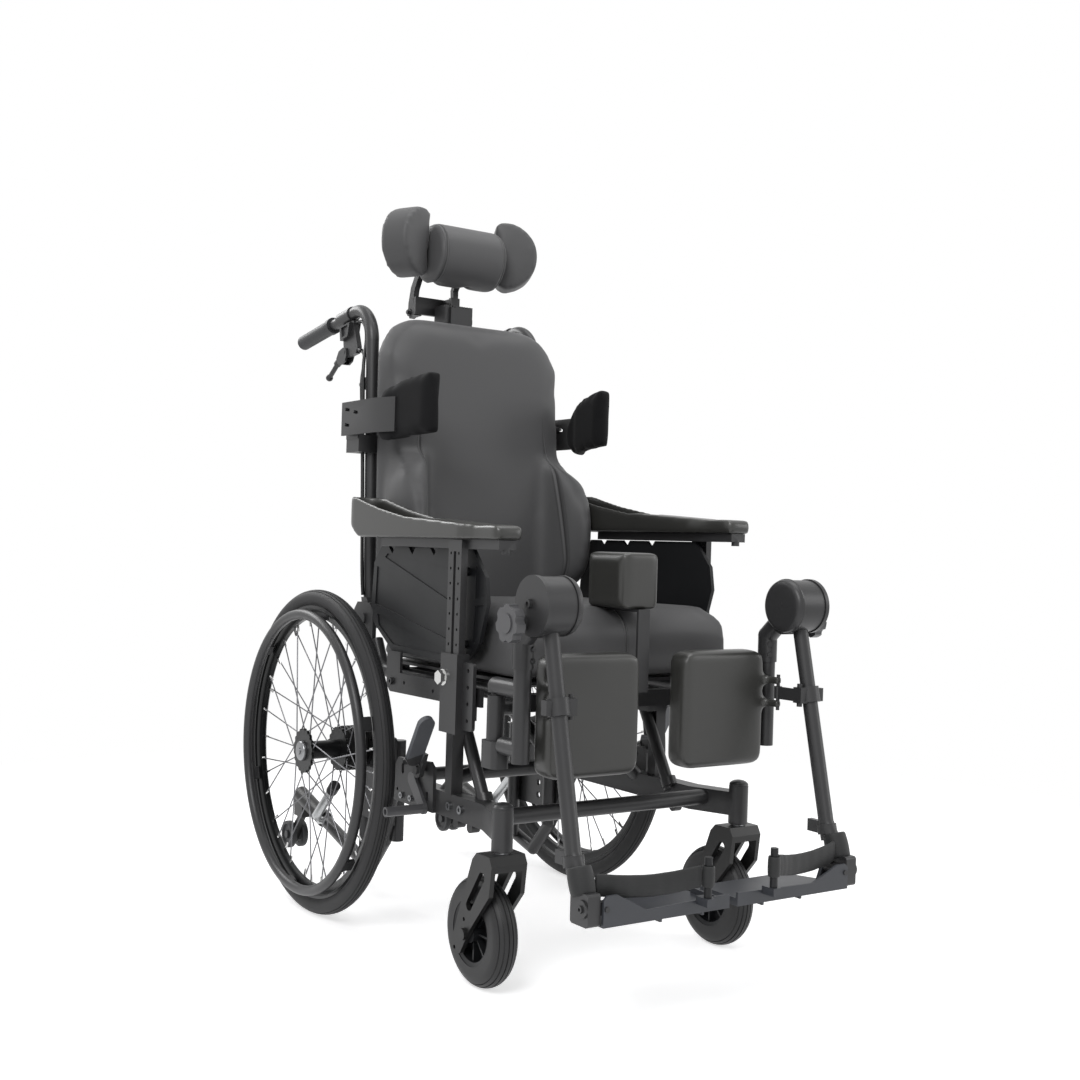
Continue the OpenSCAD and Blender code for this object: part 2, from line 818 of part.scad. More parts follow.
module seat_frame() color(FRAME) {
    both() {
        seat_side();
        post_receiver();
        legrest_socket();
        difference() {
            plate_x(10.5, 15.5)
                polygon(concat([[-164, 453], [spring_head.y + 12, 455]],
                    arc([spring_head.y, spring_head.z], 12, -20, 90, 6), [[-164, 478]]));
            lathe_x(5, 25, spring_head.y, spring_head.z, 10 + 7);
        }
    }
    translate([-seat_u, -580, 441])
        cube([2 * seat_u, 26, tongue_z - 441 - gap]);
    for (y = [-330, -158])
        lathe_x(-seat_u, seat_u, y, seat_tube_z, tube_d);
    difference() {
        translate([-cushion_w / 2 + 14, cushion_front + 12, board_z - board_t])
            cube([cushion_w - 28, cushion_len - 26, board_t]);
        for (m = [-1, 1], y = [-470, -390, -270, -190])
            translate([m * 95, y, board_z - board_t - 1])
                cylinder(h = board_t + 2, d = 46);
    }
    for (y = [-500, -330, -150], m = [-1, 1])
        translate([m * seat_u - 10, y - 12, seat_tube_z + tube_d / 2 - 4])
            cube([20, 24, board_z - seat_tube_z - tube_d / 2]);
    tongue_socket();
}

module seat_cushion() color(CLOTH) {
    low = board_z + eps;
    top = board_z + cushion_t;
    half = cushion_w / 2;
    intersection() {
        plate_x(-half, half)
            polygon(concat([[cushion_rear, low], [cushion_rear, top - 20]],
                arc([cushion_rear - 16, top - 16], 16, 0, 90, 4),
                arc([cushion_front + 46, top - 46], 46, 90, 180, 8),
                arc([cushion_front + 14, low + 14], 14, 180, 270, 4)));
        rotate([90, 0, 0])
            translate([0, 0, -cushion_rear - 1])
                linear_extrude(cushion_len + 2)
                    polygon(rounded([-half, low], [half, top], 24, 5));
    }
}

module pommel_bar() color(FRAME) {
    half = tongue_w / 2;
    face = -614;
    translate([-half, face, tongue_z])
        cube([tongue_w, 136, tongue_t]);
    translate([-half, face, tongue_z])
        cube([tongue_w, tongue_t, board_z + cushion_t - tongue_z + 6]);
    translate([-half, face, board_z + cushion_t + 1.5])
        cube([tongue_w, 100, 4]);
}

module pommel_pad() color(PU) {
    low = board_z + cushion_t + 5.5 + eps;
    intersection() {
        plate_z(low, low + 94)
            polygon(rounded([-40, -606], [40, -500], 14));
        rotate([90, 0, 0])
            translate([0, 0, 480])
                linear_extrude(140)
                    polygon(rounded([-40, low], [40, low + 94], 12));
    }
}

// ---- Armrests: the left one is set higher, as the right one can be ----

module arm_side(s) {
    side(s)
        translate([0, 0, s > 0 ? left_raise : 0])
            children();
}

arm_nose = -577;
arm_rear = arm_nose + pad_len + 14;
arm_mid = 242;

module armrest_post(s) color(FRAME) arm_side(s) {
    top = pad_z - 1;
    difference() {
        translate([arm_u - post_thick / 2, receiver_y - post_wide / 2, 412])
            cube([post_thick, post_wide, top - 412]);
        for (m = [0, 1])
            translate([arm_u - post_thick / 2 - 1 + m * (post_thick - 3), receiver_y - 4, 411])
                cube([5, 8, top - 430]);
        for (m = [-1, 1], z = [440 : 25 : top - 20])
            translate([arm_u, receiver_y + m * 12.5, z])
                rotate([0, 90, 0])
                    cylinder(h = 40, d = 5, center = true);
    }
    difference() {
        translate([arm_mid - 15, arm_nose + 8, pad_z - 15])
            cube([32, 400, 15 - eps]);
        translate([arm_mid - 11, arm_nose + 40, pad_z - 16])
            cube([22, 340, 12]);
    }
    translate([arm_mid, arm_nose + 14, pad_z - 22])
        cylinder(h = 10, d = 14);
}

module arm_pad(s) color(PU) arm_side(s) {
    half = pad_w / 2;
    wall = 7;
    plan = concat(
        arc([arm_mid, arm_rear - half], half, 0, 180, 14),
        [[arm_mid - half, arm_nose + 110], [arm_mid - half + 7, arm_nose + 70],
            [arm_mid - half + 8, arm_nose + 50]],
        arc([arm_mid - half + 20, arm_nose + 12], 12, 180, 270, 5),
        arc([arm_mid + half - 20, arm_nose + 12], 12, 270, 360, 5),
        [[arm_mid + half - 8, arm_nose + 50], [arm_mid + half - 7, arm_nose + 70],
        [arm_mid + half, arm_nose + 110]]);
    difference() {
        intersection() {
            plate_z(pad_z, pad_z + 90)
                polygon(plan);
            plate_x(arm_mid - half - 1, arm_mid + half + 1)
                polygon(concat([[arm_nose + 4, pad_z], [arm_rear - 52, pad_z], [arm_rear - 8, pad_z + 24],
                    [arm_rear + 1, pad_z + 72], [arm_rear + 1, pad_z + 77], [-88, pad_z + 75]],
                    [[-135, pad_z + 64], [-188, pad_z + 53], [-280, pad_z + 39], [-391, pad_z + 32],
                    [-480, pad_z + 27], [arm_nose + 60, pad_z + 24], [arm_nose + 30, pad_z + 25],
                    [arm_nose + 8, pad_z + 24], [arm_nose, pad_z + 18], [arm_nose, pad_z + 5]]));
        }
        intersection() {
            plate_z(pad_z + 14, pad_z + 100)
                polygon(concat(arc([arm_mid, arm_rear - half], half - wall, 0, 180, 12),
                    [[arm_mid - half + wall, -300], [arm_mid, -372], [arm_mid + half - wall, -300]]));
            plate_x(arm_mid - half, arm_mid + half)
                polygon([[arm_rear, pad_z + 100], [arm_rear, pad_z + 20], [-170, pad_z + 16],
                    [-240, pad_z + 20],
                    [-380, pad_z + 33], [-380, pad_z + 100]]);
        }
    }
}

module side_panel(s) color(DARK) arm_side(s) {
    in = arm_mid - 7;
    outline = [[-136, 697], [-108, 667], [-101, 596], [-112, 555], [-187, 509], [-386, 505], [-448, 510],
        [-490, 545], [-511, 610], [-504, 652], [-462, 697]];
    difference() {
        plate_x(in, in + panel_t)
            polygon(outline);
        for (y = [-176, -252, -330])
            plate_x(in - 1, in + panel_t + 1)
                polygon([[y + 14, 698], [y - 14, 698], [y - 2, 684]]);
        plate_x(in + panel_t - 2, in + panel_t + 1) {
            polygon([[-150, 677], [-384, 610], [-388, 664], [-160, 684]]);
            polygon([[-120, 660], [-384, 588], [-384, 544], [-116, 590]]);
            polygon([[-126, 572], [-384, 524], [-384, 516], [-190, 520], [-132, 552]]);
            polygon([[-474, 670], [-496, 650], [-501, 622], [-474, 616]]);
            polygon([[-474, 604], [-500, 608], [-482, 553], [-470, 543]]);
        }
    }
    for (z = [540, 660])
        lathe_x(in + panel_t - eps, arm_u - post_thick / 2 - run, receiver_y, z, 14);
}

// ---- Legrests ----

pivot_flip = [238, 197];
leg_u = 256;
drawn_foot = [leg_u, -794.731, 236.996];
drum_in = leg_u - 23;
drum_out = leg_u + 22;

function leg_at(length) =
    [leg_u, knee_y - length * sin(leg_angle), knee_z - length * cos(leg_angle)];

// What hangs on the leg tube's end moves with it when the leg's length changes
foot_shift = leg_at(leg_len) - drawn_foot;

module legrest_hanger(s) color(FRAME) side(s) {
    translate([pin_u, hanger_y, 372])
        cylinder(h = 560 - 372, d = hanger_d);
    run_tube([[pin_u, hanger_y, upper_stub], [pin_u, pin_y, upper_stub], [pin_u, pin_y, upper_stub - 10]],
        hanger_d);
    translate([pin_u, pin_y, 410])
        cylinder(h = upper_stub - 410, d = 16);
    bar([pin_u, hanger_y, lower_stub], [pin_u, pin_y - 24.5, lower_stub], hanger_d);
    difference() {
        union() {
            run_tube([[pin_u, hanger_y, 517], [pin_u, hanger_y, 562], [pin_u, knee_y + 36, knee_z - 26]],
                hanger_d + 5);
            intersection() {
                lathe_x(drum_in - 2, drum_out + 2, knee_y, knee_z, knee_d + 8);
                plate_x(drum_in - 2, drum_out + 2)
                    polygon([[knee_y, knee_z], [knee_y + 20, knee_z - 90], [knee_y + 90, knee_z - 90],
                        [knee_y + 90, knee_z - 10]]);
            }
            lathe_x(drum_out + gap, drum_out + 8, knee_y, knee_z, knee_d);
            translate([drum_in - gap, knee_y, knee_z])
                rotate([0, -90, 0])
                    rotate_extrude($fn = 60)
                        polygon(concat([[0, 0], [knee_d / 2, 0], [knee_d / 2, 3]],
                            arc([knee_d / 2 - 11, 4], 10, 0, 90, 5), [[0, 14.5]]));
        }
        difference() {
            lathe_x(drum_in - gap, drum_out + gap, knee_y, knee_z, knee_d - 4 + 2 * gap);
            lathe_x(drum_in - gap - 1, drum_out + gap + 1, knee_y, knee_z, 11.9);
        }
    }
    lathe_x(drum_in - 5, drum_out + 5, knee_y, knee_z, 11.9);
    difference() {
        lathe_x(drum_out + 8 - eps, drum_out + 14, knee_y + 4, knee_z + 3, 15);
        lathe_x(drum_out + 11, drum_out + 15, knee_y + 4, knee_z + 3, 7);
    }
    difference() {
        lathe_x(drum_out + 8 - eps, drum_out + 16, knee_y + 19, knee_z - 27, 22);
        lathe_x(drum_out + 8, drum_out + 20, knee_y + 19, knee_z - 27, 8 + 2 * run);
    }
    for (z = [530, 548])
        translate([pin_u, hanger_y, z])
            rotate([90, 0, -28])
                cylinder(h = hanger_d / 2 + 5, d = 9);
}

module elevation_knob(s) color(GREY) side(s) translate([0, knee_y + 19, knee_z - 27]) rotate([0, 90, 0]) {
    face = drum_out + 16.6;
    translate([0, 0, drum_out + 9])
        cylinder(h = 12, d = 8);
    translate([0, 0, face])
        cylinder(h = 8, d1 = 20, d2 = 26);
    translate([0, 0, face + 7])
        linear_extrude(16) {
            difference() {
                circle(r = 29);
                for (i = [0 : 6])
                    rotate(i * 360 / 7)
                        translate([33, 0])
                            circle(r = 8);
            }
        }
    translate([0, 0, face + 23 - eps])
        cylinder(h = 2, d = 30);
}

clamp_at = 151;
calf_pin = [230, -694];

module lower_leg(s) color(FRAME) side(s) {
    foot = leg_at(leg_len);
    c = leg_at(clamp_at);
    difference() {
        union() {
            lathe_x(drum_in, drum_out, knee_y, knee_z, knee_d - 4);
            bar(leg_at(40), foot, leg_tube_d);
        }
        lathe_x(drum_in - 1, drum_out + 1, knee_y, knee_z, 12 + 2 * run);
        bar(leg_at(leg_len - 40), leg_at(leg_len + 5), leg_tube_d - 4);
    }
    bar(leg_at(clamp_at - 13), leg_at(clamp_at + 13), leg_tube_d + 10);
    translate([c.x - 28, c.y - 9, c.z - 13])
        cube([20, 18, 26]);
    translate([c.x + 14, c.y - 7, c.z - 11])
        cube([12, 14, 22]);
    translate([c.x - 22, c.y, c.z - 19])
        cylinder(h = 38, d = 9);
    plate_z(c.z - 10.5, c.z + 10.5) {
        polygon([[c.x - 28, c.y + 9], [c.x - 28, c.y - 5], [calf_pin.x - 5, calf_pin.y + 3],
            [calf_pin.x - 2, calf_pin.y + 6]]);
        translate(calf_pin)
            circle(d = 13);
    }
    translate([calf_pin.x, calf_pin.y, c.z - 30])
        cylinder(h = 60, d = 6);
    bar(leg_at(leg_len - 26), leg_at(leg_len - 10), leg_tube_d + 7);
    translate([leg_u - 5, foot.y + 12, foot.z + 8])
        cube([10, 32, 20]);
    bar(leg_at(leg_len - 38), [leg_u, -822, 215] + foot_shift, leg_tube_d - 4.2);
    translate(foot_shift) {
        plate_x(246, 268)
            polygon(rounded([-845, 172], [-802, 219], 5));
        plate_x(246, 260)
            polygon([[-836, 210], [-806, 210], [-808, 226], [-828, 226]]);
        translate([pivot_flip.x, -844, pivot_flip.y])
            rotate([-90, 0, 0])
                cylinder(h = 34, d = 18);
        translate([pivot_flip.x, -844, pivot_flip.y - 9])
            cube([10, 34, 18]);
        lathe_x(267, 271, -832, 197, 26);
        screw_x(271, -832, 197, 11, 3);
        translate([pivot_flip.x, -852, pivot_flip.y])
            rotate([-90, 0, 0])
                cylinder(h = 50, d = 8);
    }
}

module calf_pad(s) color(PU) side(s) {
    c = leg_at(clamp_at);
    in = 44;
    out = in + calf_w;
    low = 345;
    rear = -623;
    intersection() {
        plate_z(low, low + calf_h)
            polygon(rounded([in, rear - calf_t], [out, rear], 12));
        rotate([90, 0, 0])
            translate([0, 0, 600])
                linear_extrude(100)
                    polygon(rounded([in, low], [out, low + calf_h], 26));
        plate_x(in, out)
            polygon(rounded([rear - calf_t, low], [rear, low + calf_h], 12));
    }
    difference() {
        for (m = [-1, 1])
            translate([0, 0, m > 0 ? c.z + 11 : c.z - 27])
                linear_extrude(16) {
                    translate(calf_pin)
                        circle(d = 13);
                    polygon([[calf_pin.x - 6, calf_pin.y + 3], [calf_pin.x + 3, calf_pin.y + 5],
                        [out + 2, rear - 20], [out - 12, rear - 12], [out - 12, rear - 30],
                            [out - 4, rear - 32]]);
                }
        translate([calf_pin.x, calf_pin.y, c.z - 40])
            cylinder(h = 80, d = 6 + 2 * run);
    }
}

module footplate(s) color("#5f626b") side(s) translate(foot_shift) {
    in = 244 - plate_w;
    out = 244;
    ear = s < 0 ? 45 : 40;
    t = 4;
    rear = plate_y + plate_depth;
    difference() {
        union() {
            plate_z(plate_z, plate_z + t)
                polygon([[in, plate_y], [out, plate_y], [out, -806], [out - 26, rear - 12],
                    [out - 44, rear], [in + 26, rear], [in, rear + 26]]);
            translate([0, plate_y + t, 0])
                rotate([90, 0, 0])
                    linear_extrude(t)
                        polygon([[in, plate_z], [out, plate_z], [out, plate_z + ear - 6],
                            [out - 6, plate_z + ear],
                            [out - 24, plate_z + ear], [out - 78, plate_z + 17], [in, plate_z + 21]]);
            translate([in, plate_y, plate_z])
                cube([t, plate_depth - 28, 12]);
            for (x = [in + 50, in + 130])
                translate([x, plate_y, plate_z - 4])
                    cube([t, plate_depth - 10, 5]);
            translate([0, -802.4, 0])
                rotate([90, 0, 0])
                    linear_extrude(7) {
                        translate(pivot_flip)
                            circle(r = 7.2);
                        polygon([[out - 26, plate_z], [out - 1, plate_z], [out - 1, pivot_flip.y - 4],
                            [pivot_flip.x, pivot_flip.y + 7.1], [out - 14, pivot_flip.y + 4]]);
                    }
        }
        translate([pivot_flip.x, -860, pivot_flip.y])
            rotate([-90, 0, 0])
                cylinder(h = 70, d = 8 + 2 * run);
    }
    translate([58, -875, plate_z + 14])
        cube([16, 26, 12]);
    translate([66, -866, plate_z + 20])
        cylinder(h = 66, d = 12);
}

module heel_strap(s) color(DARK) side(s) translate(foot_shift) {
    z = 214;
    difference() {
        translate([leg_u, -815, z])
            cylinder(h = 19, d = leg_tube_d + 24);
        translate([leg_u, -815, z - 1])
            cylinder(h = 40, d = leg_tube_d + 18);
        translate([leg_u - 11, -850, z - 1])
            cube([24, 56, 14]);
    }
    plate_z(z + 2, z + 34)
        polygon([[leg_u - 17, -830], [leg_u - 17, -826], [120, -838], [76, -858], [74, -862], [120, -843]]);
}

// ---- Back ----

lean_step = tan(lean);
bend_r = 68;
drop = 7.8;
lever_pin = [140, 1088];
panel_y = -25;
stem_x = 12;
stem_y = 65;
block_low = 1147;
block_top = 1195;
arm_x = -52;
roll_y = 20;
wing_toe = 28;
wing_hinge = [88, 50];

function cane_y(z) = hinge_y + 17.5 + (z - hinge_z) * lean_step;

module leaning() {
    translate([0, hinge_y, hinge_z])
        rotate([-lean, 0, 0])
            translate([0, -hinge_y, -hinge_z])
                children();
}

bend_c_z = bend_z - tube_d / 2 - bend_r;
bend_c_y = cane_y(bend_c_z + bend_r * sin(lean)) + bend_r * cos(lean);

function handle(t, below = 0) = [
    cane_u,
    bend_c_y + (bend_r - below) * sin(drop) + t * cos(drop),
    bend_c_z + (bend_r - below) * cos(drop) - t * sin(drop)];

grip_end_t = (grip_end_y - bend_c_y - (bend_r + grip_d / 2) * sin(drop)) / cos(drop);
grip_start_t = grip_end_t - grip_len;

module handle_bar(t0, t1, d, below = 0) {
    translate(handle(t0, below))
        rotate([-90 - drop, 0, 0])
            cylinder(h = t1 - t0, d = d);
}

module on_cane(z0, z1, d) {
    translate([cane_u, cane_y(z0), z0])
        rotate([-lean, 0, 0])
            cylinder(h = (z1 - z0) / cos(lean), d = d);
}

module cane() {
    on_cane(558, bend_c_z + bend_r * sin(lean) + 2, tube_d);
    elbow(cane_u, bend_c_y, bend_c_z, bend_r, 90 - drop, 90 - lean + drop, tube_d);
    handle_bar(-2, 42, tube_d);
    handle_bar(40, grip_end_t - 4, 22);
    plate_x(cane_u - 10, hinge_plate - gap)
        polygon(concat(arc([hinge_y, hinge_z], 20, 150, 360, 14),
            [[cane_y(596) + 11, 596], [cane_y(596) - 11, 596]]));
    lathe_x(cane_u - 10, hinge_plate + 12, hinge_y, hinge_z, 12);
    lathe_x(hinge_plate + 8 + gap, hinge_plate + 12, hinge_y, hinge_z, 22);
    translate([cane_u, cane_y(1017) + 8, 1017])
        rotate([-90, 0, 0]) {
            cylinder(h = 12, d = 16);
            translate([0, 0, 12 - eps])
                cylinder(h = 26, d1 = 27, d2 = 12);
        }
}

module lever_bracket() {
    difference() {
        union() {
            plate_x(cane_u - 13, cane_u + 13)
                polygon([[112, 1146], [158, 1140], [153, 1112], [120, 1118]]);
            plate_x(cane_u - 5, cane_u + 5)
                polygon([[110, 1150], [160, 1144], [152, 1098], [150, 1084], [138, 1077], [96, 1082],
                    [88, 1094]]);
            handle_bar(12, 66, 31);
        }
        plate_x(cane_u + 9, cane_u + 14)
            polygon([[120, 1142], [150, 1138], [146, 1118], [126, 1122]]);
    }
    lathe_x(cane_u - 10, cane_u + 10, lever_pin.x, lever_pin.y, 7);
    bar([cane_u, 92, 1090], [cane_u, 80, 1086], 9);
}

module back_frame() color(FRAME) {
    both() {
        cane();
        lever_bracket();
    }
    for (z = [640, 1060]) {
        lathe_x(-cane_u, cane_u, cane_y(z), z, 20);
        for (m = [-1, 1])
            translate([m * 95 - 20, cane_y(z) - 30, z - 12])
                cube([40, 25, 24]);
    }
    leaning() difference() {
        rotate([90, 0, 0])
            translate([0, 0, -panel_y - 4])
                linear_extrude(4)
                    polygon(rounded([-168, 584], [168, 1116], 30));
        for (z = [720, 820, 920], m = [-1, 1])
            translate([m * 82, 0, z])
                rotate([90, 0, 0])
                    cylinder(h = 100, d = 60, center = true);
    }
    translate([stem_x - 22, 38, 1040])
        cube([44, 7, block_top - 1045]);
    difference() {
        translate([stem_x - 32, 44, block_low])
            cube([64, 46, block_top - block_low]);
        translate([stem_x - 10 - gap, stem_y - 5 - gap, block_low - 1])
            cube([20 + 2 * gap, 10 + 2 * gap, block_top - block_low + 2]);
        for (x = [-22, -16, -10, 10, 16, 22])
            translate([stem_x + x - 1.2, 43, block_top - 8])
                cube([2.4, 14, 9]);
    }
    translate([stem_x + 32 - eps, 66, 1168])
        rotate([0, 90, 0])
            cylinder(h = 9, d = 18, $fn = 6);
}

module back_cushion() color(CLOTH) leaning() {
    half = back_w / 2;
    rear = panel_y - eps;
    low = 520;
    intersection() {
        union() {
            plate_x(-half, half)
                polygon(concat([[rear, low], [rear, back_top - 14]],
                    arc([rear - 16, back_top - 16], 16, 0, 90, 4), arc([-60, back_top - 16],
                        16, 90, 180, 4),
                    [[-98, low + 330], [-96, low]]));
            intersection() {
                plate_x(-half, half)
                    polygon([[rear - 1, 524], [-104, 526], [-110, 598], [-150, 616], [-184, 652],
                        [-200, 700], [-204, 740], [-195, 782], [-172, 822], [-138, 856], [-94, 886],
                        [rear - 1, 886]]);
                plate_z(520, 890)
                    for (m = [-1, 1])
                        polygon([[m * 128, rear - 1], [m * 130, -90], [m * 148, -122], [m * 157, -158],
                            [m * 165, -192], [m * 175, -205], [m * 188, -201], [m * 198, -184],
                            [m * half, -130], [m * half, rear - 1]]);
            }
        }
        rotate([90, 0, 0])
            linear_extrude(220)
                polygon(concat(arc([-half + 96, back_top - 96], 96, 90, 180, 8), [[-half, 640],
                    [-half + 6, 606], [-172, 582], [-164, 545], [-158, low], [158, low], [164, 545],
                    [172, 582], [half - 6, 606], [half, 640]],
                    arc([half - 96, back_top - 96], 96, 0, 90, 8)));
        plate_z(low - 1, back_top + 1)
            polygon(rounded([-half, -220], [half, rear], 10));
    }
}

module push_grips() color(DARK) both() {
    difference() {
        union() {
            handle_bar(grip_start_t, grip_end_t, grip_d);
            handle_bar(grip_start_t - 18, grip_start_t - 3, grip_d + 3);
            handle_bar(grip_start_t - 4, grip_start_t + 1, grip_d - 5);
        }
        handle_bar(grip_start_t - 20, grip_end_t - 4 + run, 22 + 2 * run);
        for (t = [grip_start_t + 16 : 9 : grip_end_t - 30])
            handle_bar(t, t + 3, 6, grip_d / 2 + 2);
    }
}

module hand_lever(s) color(FRAME) side(s) {
    tip = [226, 1044];
    difference() {
        union() {
            plate_x(cane_u - 9.5, cane_u + 9.5)
                polygon([[130, 1080], [134, 1096], [146, 1098], [166, 1092], [176, 1078], [168, 1066],
                    [150, 1064],
                    [136, 1070]]);
            bar([cane_u, 166, 1080], [cane_u, 190, 1069], 15);
            bar([cane_u, 184, 1072], [cane_u, tip.x, tip.y], 10);
            translate([cane_u, tip.x, tip.y])
                sphere(d = 15);
        }
        lathe_x(cane_u - 20, cane_u + 20, lever_pin.x, lever_pin.y, 7 + 2 * run);
        plate_x(cane_u - 5 - gap, cane_u + 5 + gap)
            polygon([[120, 1110], [158, 1104], [158, 1078], [156, 1070], [146, 1062], [120, 1060]]);
    }
}

module lateral_brackets() color(FRAME) both() {
    difference() {
        plate_z(910, 975)
            polygon([[237, 52], [242, 52], [242, -86], [226, -140], [221, -138.5], [237, -85]]);
        plate_x(230, 250)
            for (p = [[28, 930], [28, 960], [-8, 953]])
                translate(p)
                    rotate(8)
                        slot([-8, 0], [8, 0], 6);
    }
    for (p = [[34, 931], [34, 961], [-3, 954]]) {
        lathe_x(226, 237 + eps, p[0], p[1], 12);
        lathe_x(236, 244, p[0], p[1], 4.6);
    }
    difference() {
        union() {
            translate([cane_u - 18, 2, 878])
                cube([36 + 20, 54, 34]);
            translate([cane_u + 28, 4, 904])
                cube([11, 52, 66]);
        }
        on_cane(850, 980, tube_d + 2 * run);
        translate([cane_u + 9, 16, 870])
            cube([16, 27, 44]);
    }
}

module lateral_pads() color(DARK) both()
    intersection() {
        plate_z(880, 1030)
            polygon([[207, -66], [206, -104], [199, -122], [178, -216], [177, -228], [183, -238],
                [196, -240],
                [206, -230], [221, -138.5], [235, -84], [226, -66]]);
        plate_x(150, 240)
            polygon(concat(arc([-222, 1006], 14, 90, 180, 5), arc([-226, 916], 12, 180, 250, 4),
                [[-110, 889], [-90, 893], [-68, 916], [-63, 934], [-64, 952], [-92, 992], [-104, 1000],
                    [-150, 1013]]));
    }

module headrest_stem() color(FRAME) {
    translate([stem_x - 10, stem_y - 5, 1010])
        cube([20, 10, 1214 - 1010]);
    plate_x(stem_x - 6, stem_x + 6)
        polygon([[60, 1205], [70, 1205], [72, 1230], [roll_y + 10, roll_z + 6], [roll_y - 4, roll_z + 8],
            [roll_y - 8, roll_z - 4], [roll_y + 2, roll_z - 10], [60, 1228]]);
    plate_x(arm_x - 6, arm_x + 6)
        polygon([[roll_y + 2, roll_z + 9], [roll_y - 8, roll_z + 2], [roll_y - 2, roll_z - 8], [78, 1266],
            [98, 1250], [110, 1230], [114, 1210], [112, 1192], [116, 1176], [128, 1172], [136, 1182],
                [135, 1205],
            [126, 1236], [108, 1262], [80, 1280]]);
    lathe_x(arm_x - 12, stem_x + 8, roll_y, roll_z, 12);
    translate([arm_x - 9, 98, 1178])
        cube([stem_x + 10 - arm_x + 9, 9, 36]);
    translate([stem_x - 10, stem_y - 5, block_top + 4])
        cube([20, 42, 13]);
    lathe_x(arm_x - 11, arm_x + 11, 124, 1184, 16);
    lathe_x(arm_x - 15, arm_x + 15, 124, 1184, 8);
    translate([arm_x - 9, 104, 1176])
        cube([18, 16, 14]);
}

module headrest_roll() color(CLOTH) {
    half = roll_len / 2;
    r = roll_d / 2;
    difference() {
        union() {
            translate([-half, roll_y, roll_z])
                rotate([0, 90, 0])
                    rotate_extrude($fn = 60)
                        polygon(concat([[0, 0]], arc([r - 9, 9], 9, 270, 360, 5),
                            arc([r - 9, roll_len - 9], 9, 0, 90, 5), [[0, roll_len]]));
            for (m = [-1, 1]) {
                translate([m * (half + 5) - 8, wing_hinge.y - 8, roll_z - 14])
                    cube([16, 16, 28]);
                translate([m * wing_hinge.x, wing_hinge.y, roll_z - 27])
                    cylinder(h = 54, d = 6);
                translate([m * wing_hinge.x, wing_hinge.y, roll_z - 14])
                    cylinder(h = 28, d = 14);
            }
        }
        for (x = [arm_x, stem_x])
            plate_x(x - 6 - gap, x + 6 + gap)
                polygon(concat([[roll_y - 22, roll_z + 18]], [[roll_y - 20, roll_z - 22],
                    [roll_y - 2, roll_z - 80],
                    [roll_y + 80, roll_z - 80], [roll_y + 90, roll_z + 30], [roll_y + 10, roll_z + 24]]));
        lathe_x(arm_x - 12 - gap, stem_x + 8 + gap, roll_y, roll_z, 12 + 2 * run);
    }
}

module headrest_wing(s) color(CLOTH) side(s) {
    thick = 60;
    difference() {
        union() {
            translate([105, 0, roll_z + 18])
                rotate([90, 0, -wing_toe])
                    translate([0, 0, -thick])
                        linear_extrude(thick)
                            polygon(concat([[-27, -wing_h / 2 + 12], [-29, 0], [-31, wing_h / 2 - 22]],
                                arc([-15, wing_h / 2 - 16], 16, 170, 96, 4),
                                arc([-12, 0], wing_h / 2, 88, -88, 16), [[-20, -wing_h / 2 + 4]]));
            for (z = [roll_z - 26, roll_z + 15])
                translate([0, 0, z])
                    linear_extrude(11) {
                        translate(wing_hinge)
                            circle(d = 13);
                        polygon([[wing_hinge.x - 3, wing_hinge.y - 6], [104, 34], [108, 60],
                            [wing_hinge.x - 2, wing_hinge.y + 6.2]]);
                    }
        }
        translate([wing_hinge.x, wing_hinge.y, roll_z - 40])
            cylinder(h = 80, d = 6 + 2 * run);
        translate([wing_hinge.x, wing_hinge.y, roll_z - 14.6])
            cylinder(h = 29.2, d = 24);
    }
}

// ---- Cables ----

release_route = [[190, 104, 1145], [190, 79, 1144], [191, 62, 1130], [193, 53, 1108], [198, 47, 1082],
    [207, 34, 1050], [208, 30, 1000], [208, 25, 900], [208, 19, 800], [208, 14, 700], [208, 10, 640],
        [206, 8, 600]];
brake_route = [[190, 77.4, 1085], [192, 66, 1076], [197, 54, 1056], [206.5, 43, 1020], [205, 41, 960],
    [204, 34, 860],
    [204, 28, 760], [204, 22, 680], [203, 20, 620]];

function smooth(p, k) = [for (i = [0 : len(p) - 2]) for (j = [0 : k - 1])
    let (a = p[max(i - 1, 0)], b = p[i], c = p[i + 1], e = p[min(i + 2, len(p) - 1)], t = j / k)
    b + 0.5 * t * ((c - a) + t * ((2 * a - 5 * b + 4 * c - e) + t * (3 * b - a - 3 * c + e))),
        p[len(p) - 1]];

module cable(points, d, sides = 8) {
    p = smooth(points, 4);
    n = len(p);
    rings = [for (i = [0 : n - 1])
        let (v = p[min(i + 1, n - 1)] - p[max(i - 1, 0)], t = v / norm(v), w = cross([1, 0, 0], t),
            b = w / norm(w), c = cross(t, b))
        for (k = [0 : sides - 1]) p[i] + d / 2 * (cos(k * 360 / sides) * b + sin(k * 360 / sides) * c)];
    walls = [for (i = [0 : n - 2], k = [0 : sides - 1])
        let (m = (k + 1) % sides) [i * sides + k, (i + 1) * sides + k, (i + 1) * sides + m, i * sides + m]];
    first = [for (k = [0 : sides - 1]) k];
    last = [for (k = [0 : sides - 1]) n * sides - 1 - k];
    polyhedron(rings, concat([first, last], walls));
}

module brake_cables() color(DARK) both() {
    cable(release_route, 7);
    cable(brake_route, 5);
    for (z = [698, 830])
        difference() {
            translate([cane_u - 17, cane_y(z) - 12, z])
                cube([34, 36, 22]);
            on_cane(z - 10, z + 40, tube_d + 2 * run);
        }
}

// ---- The pieces, each in its place ----

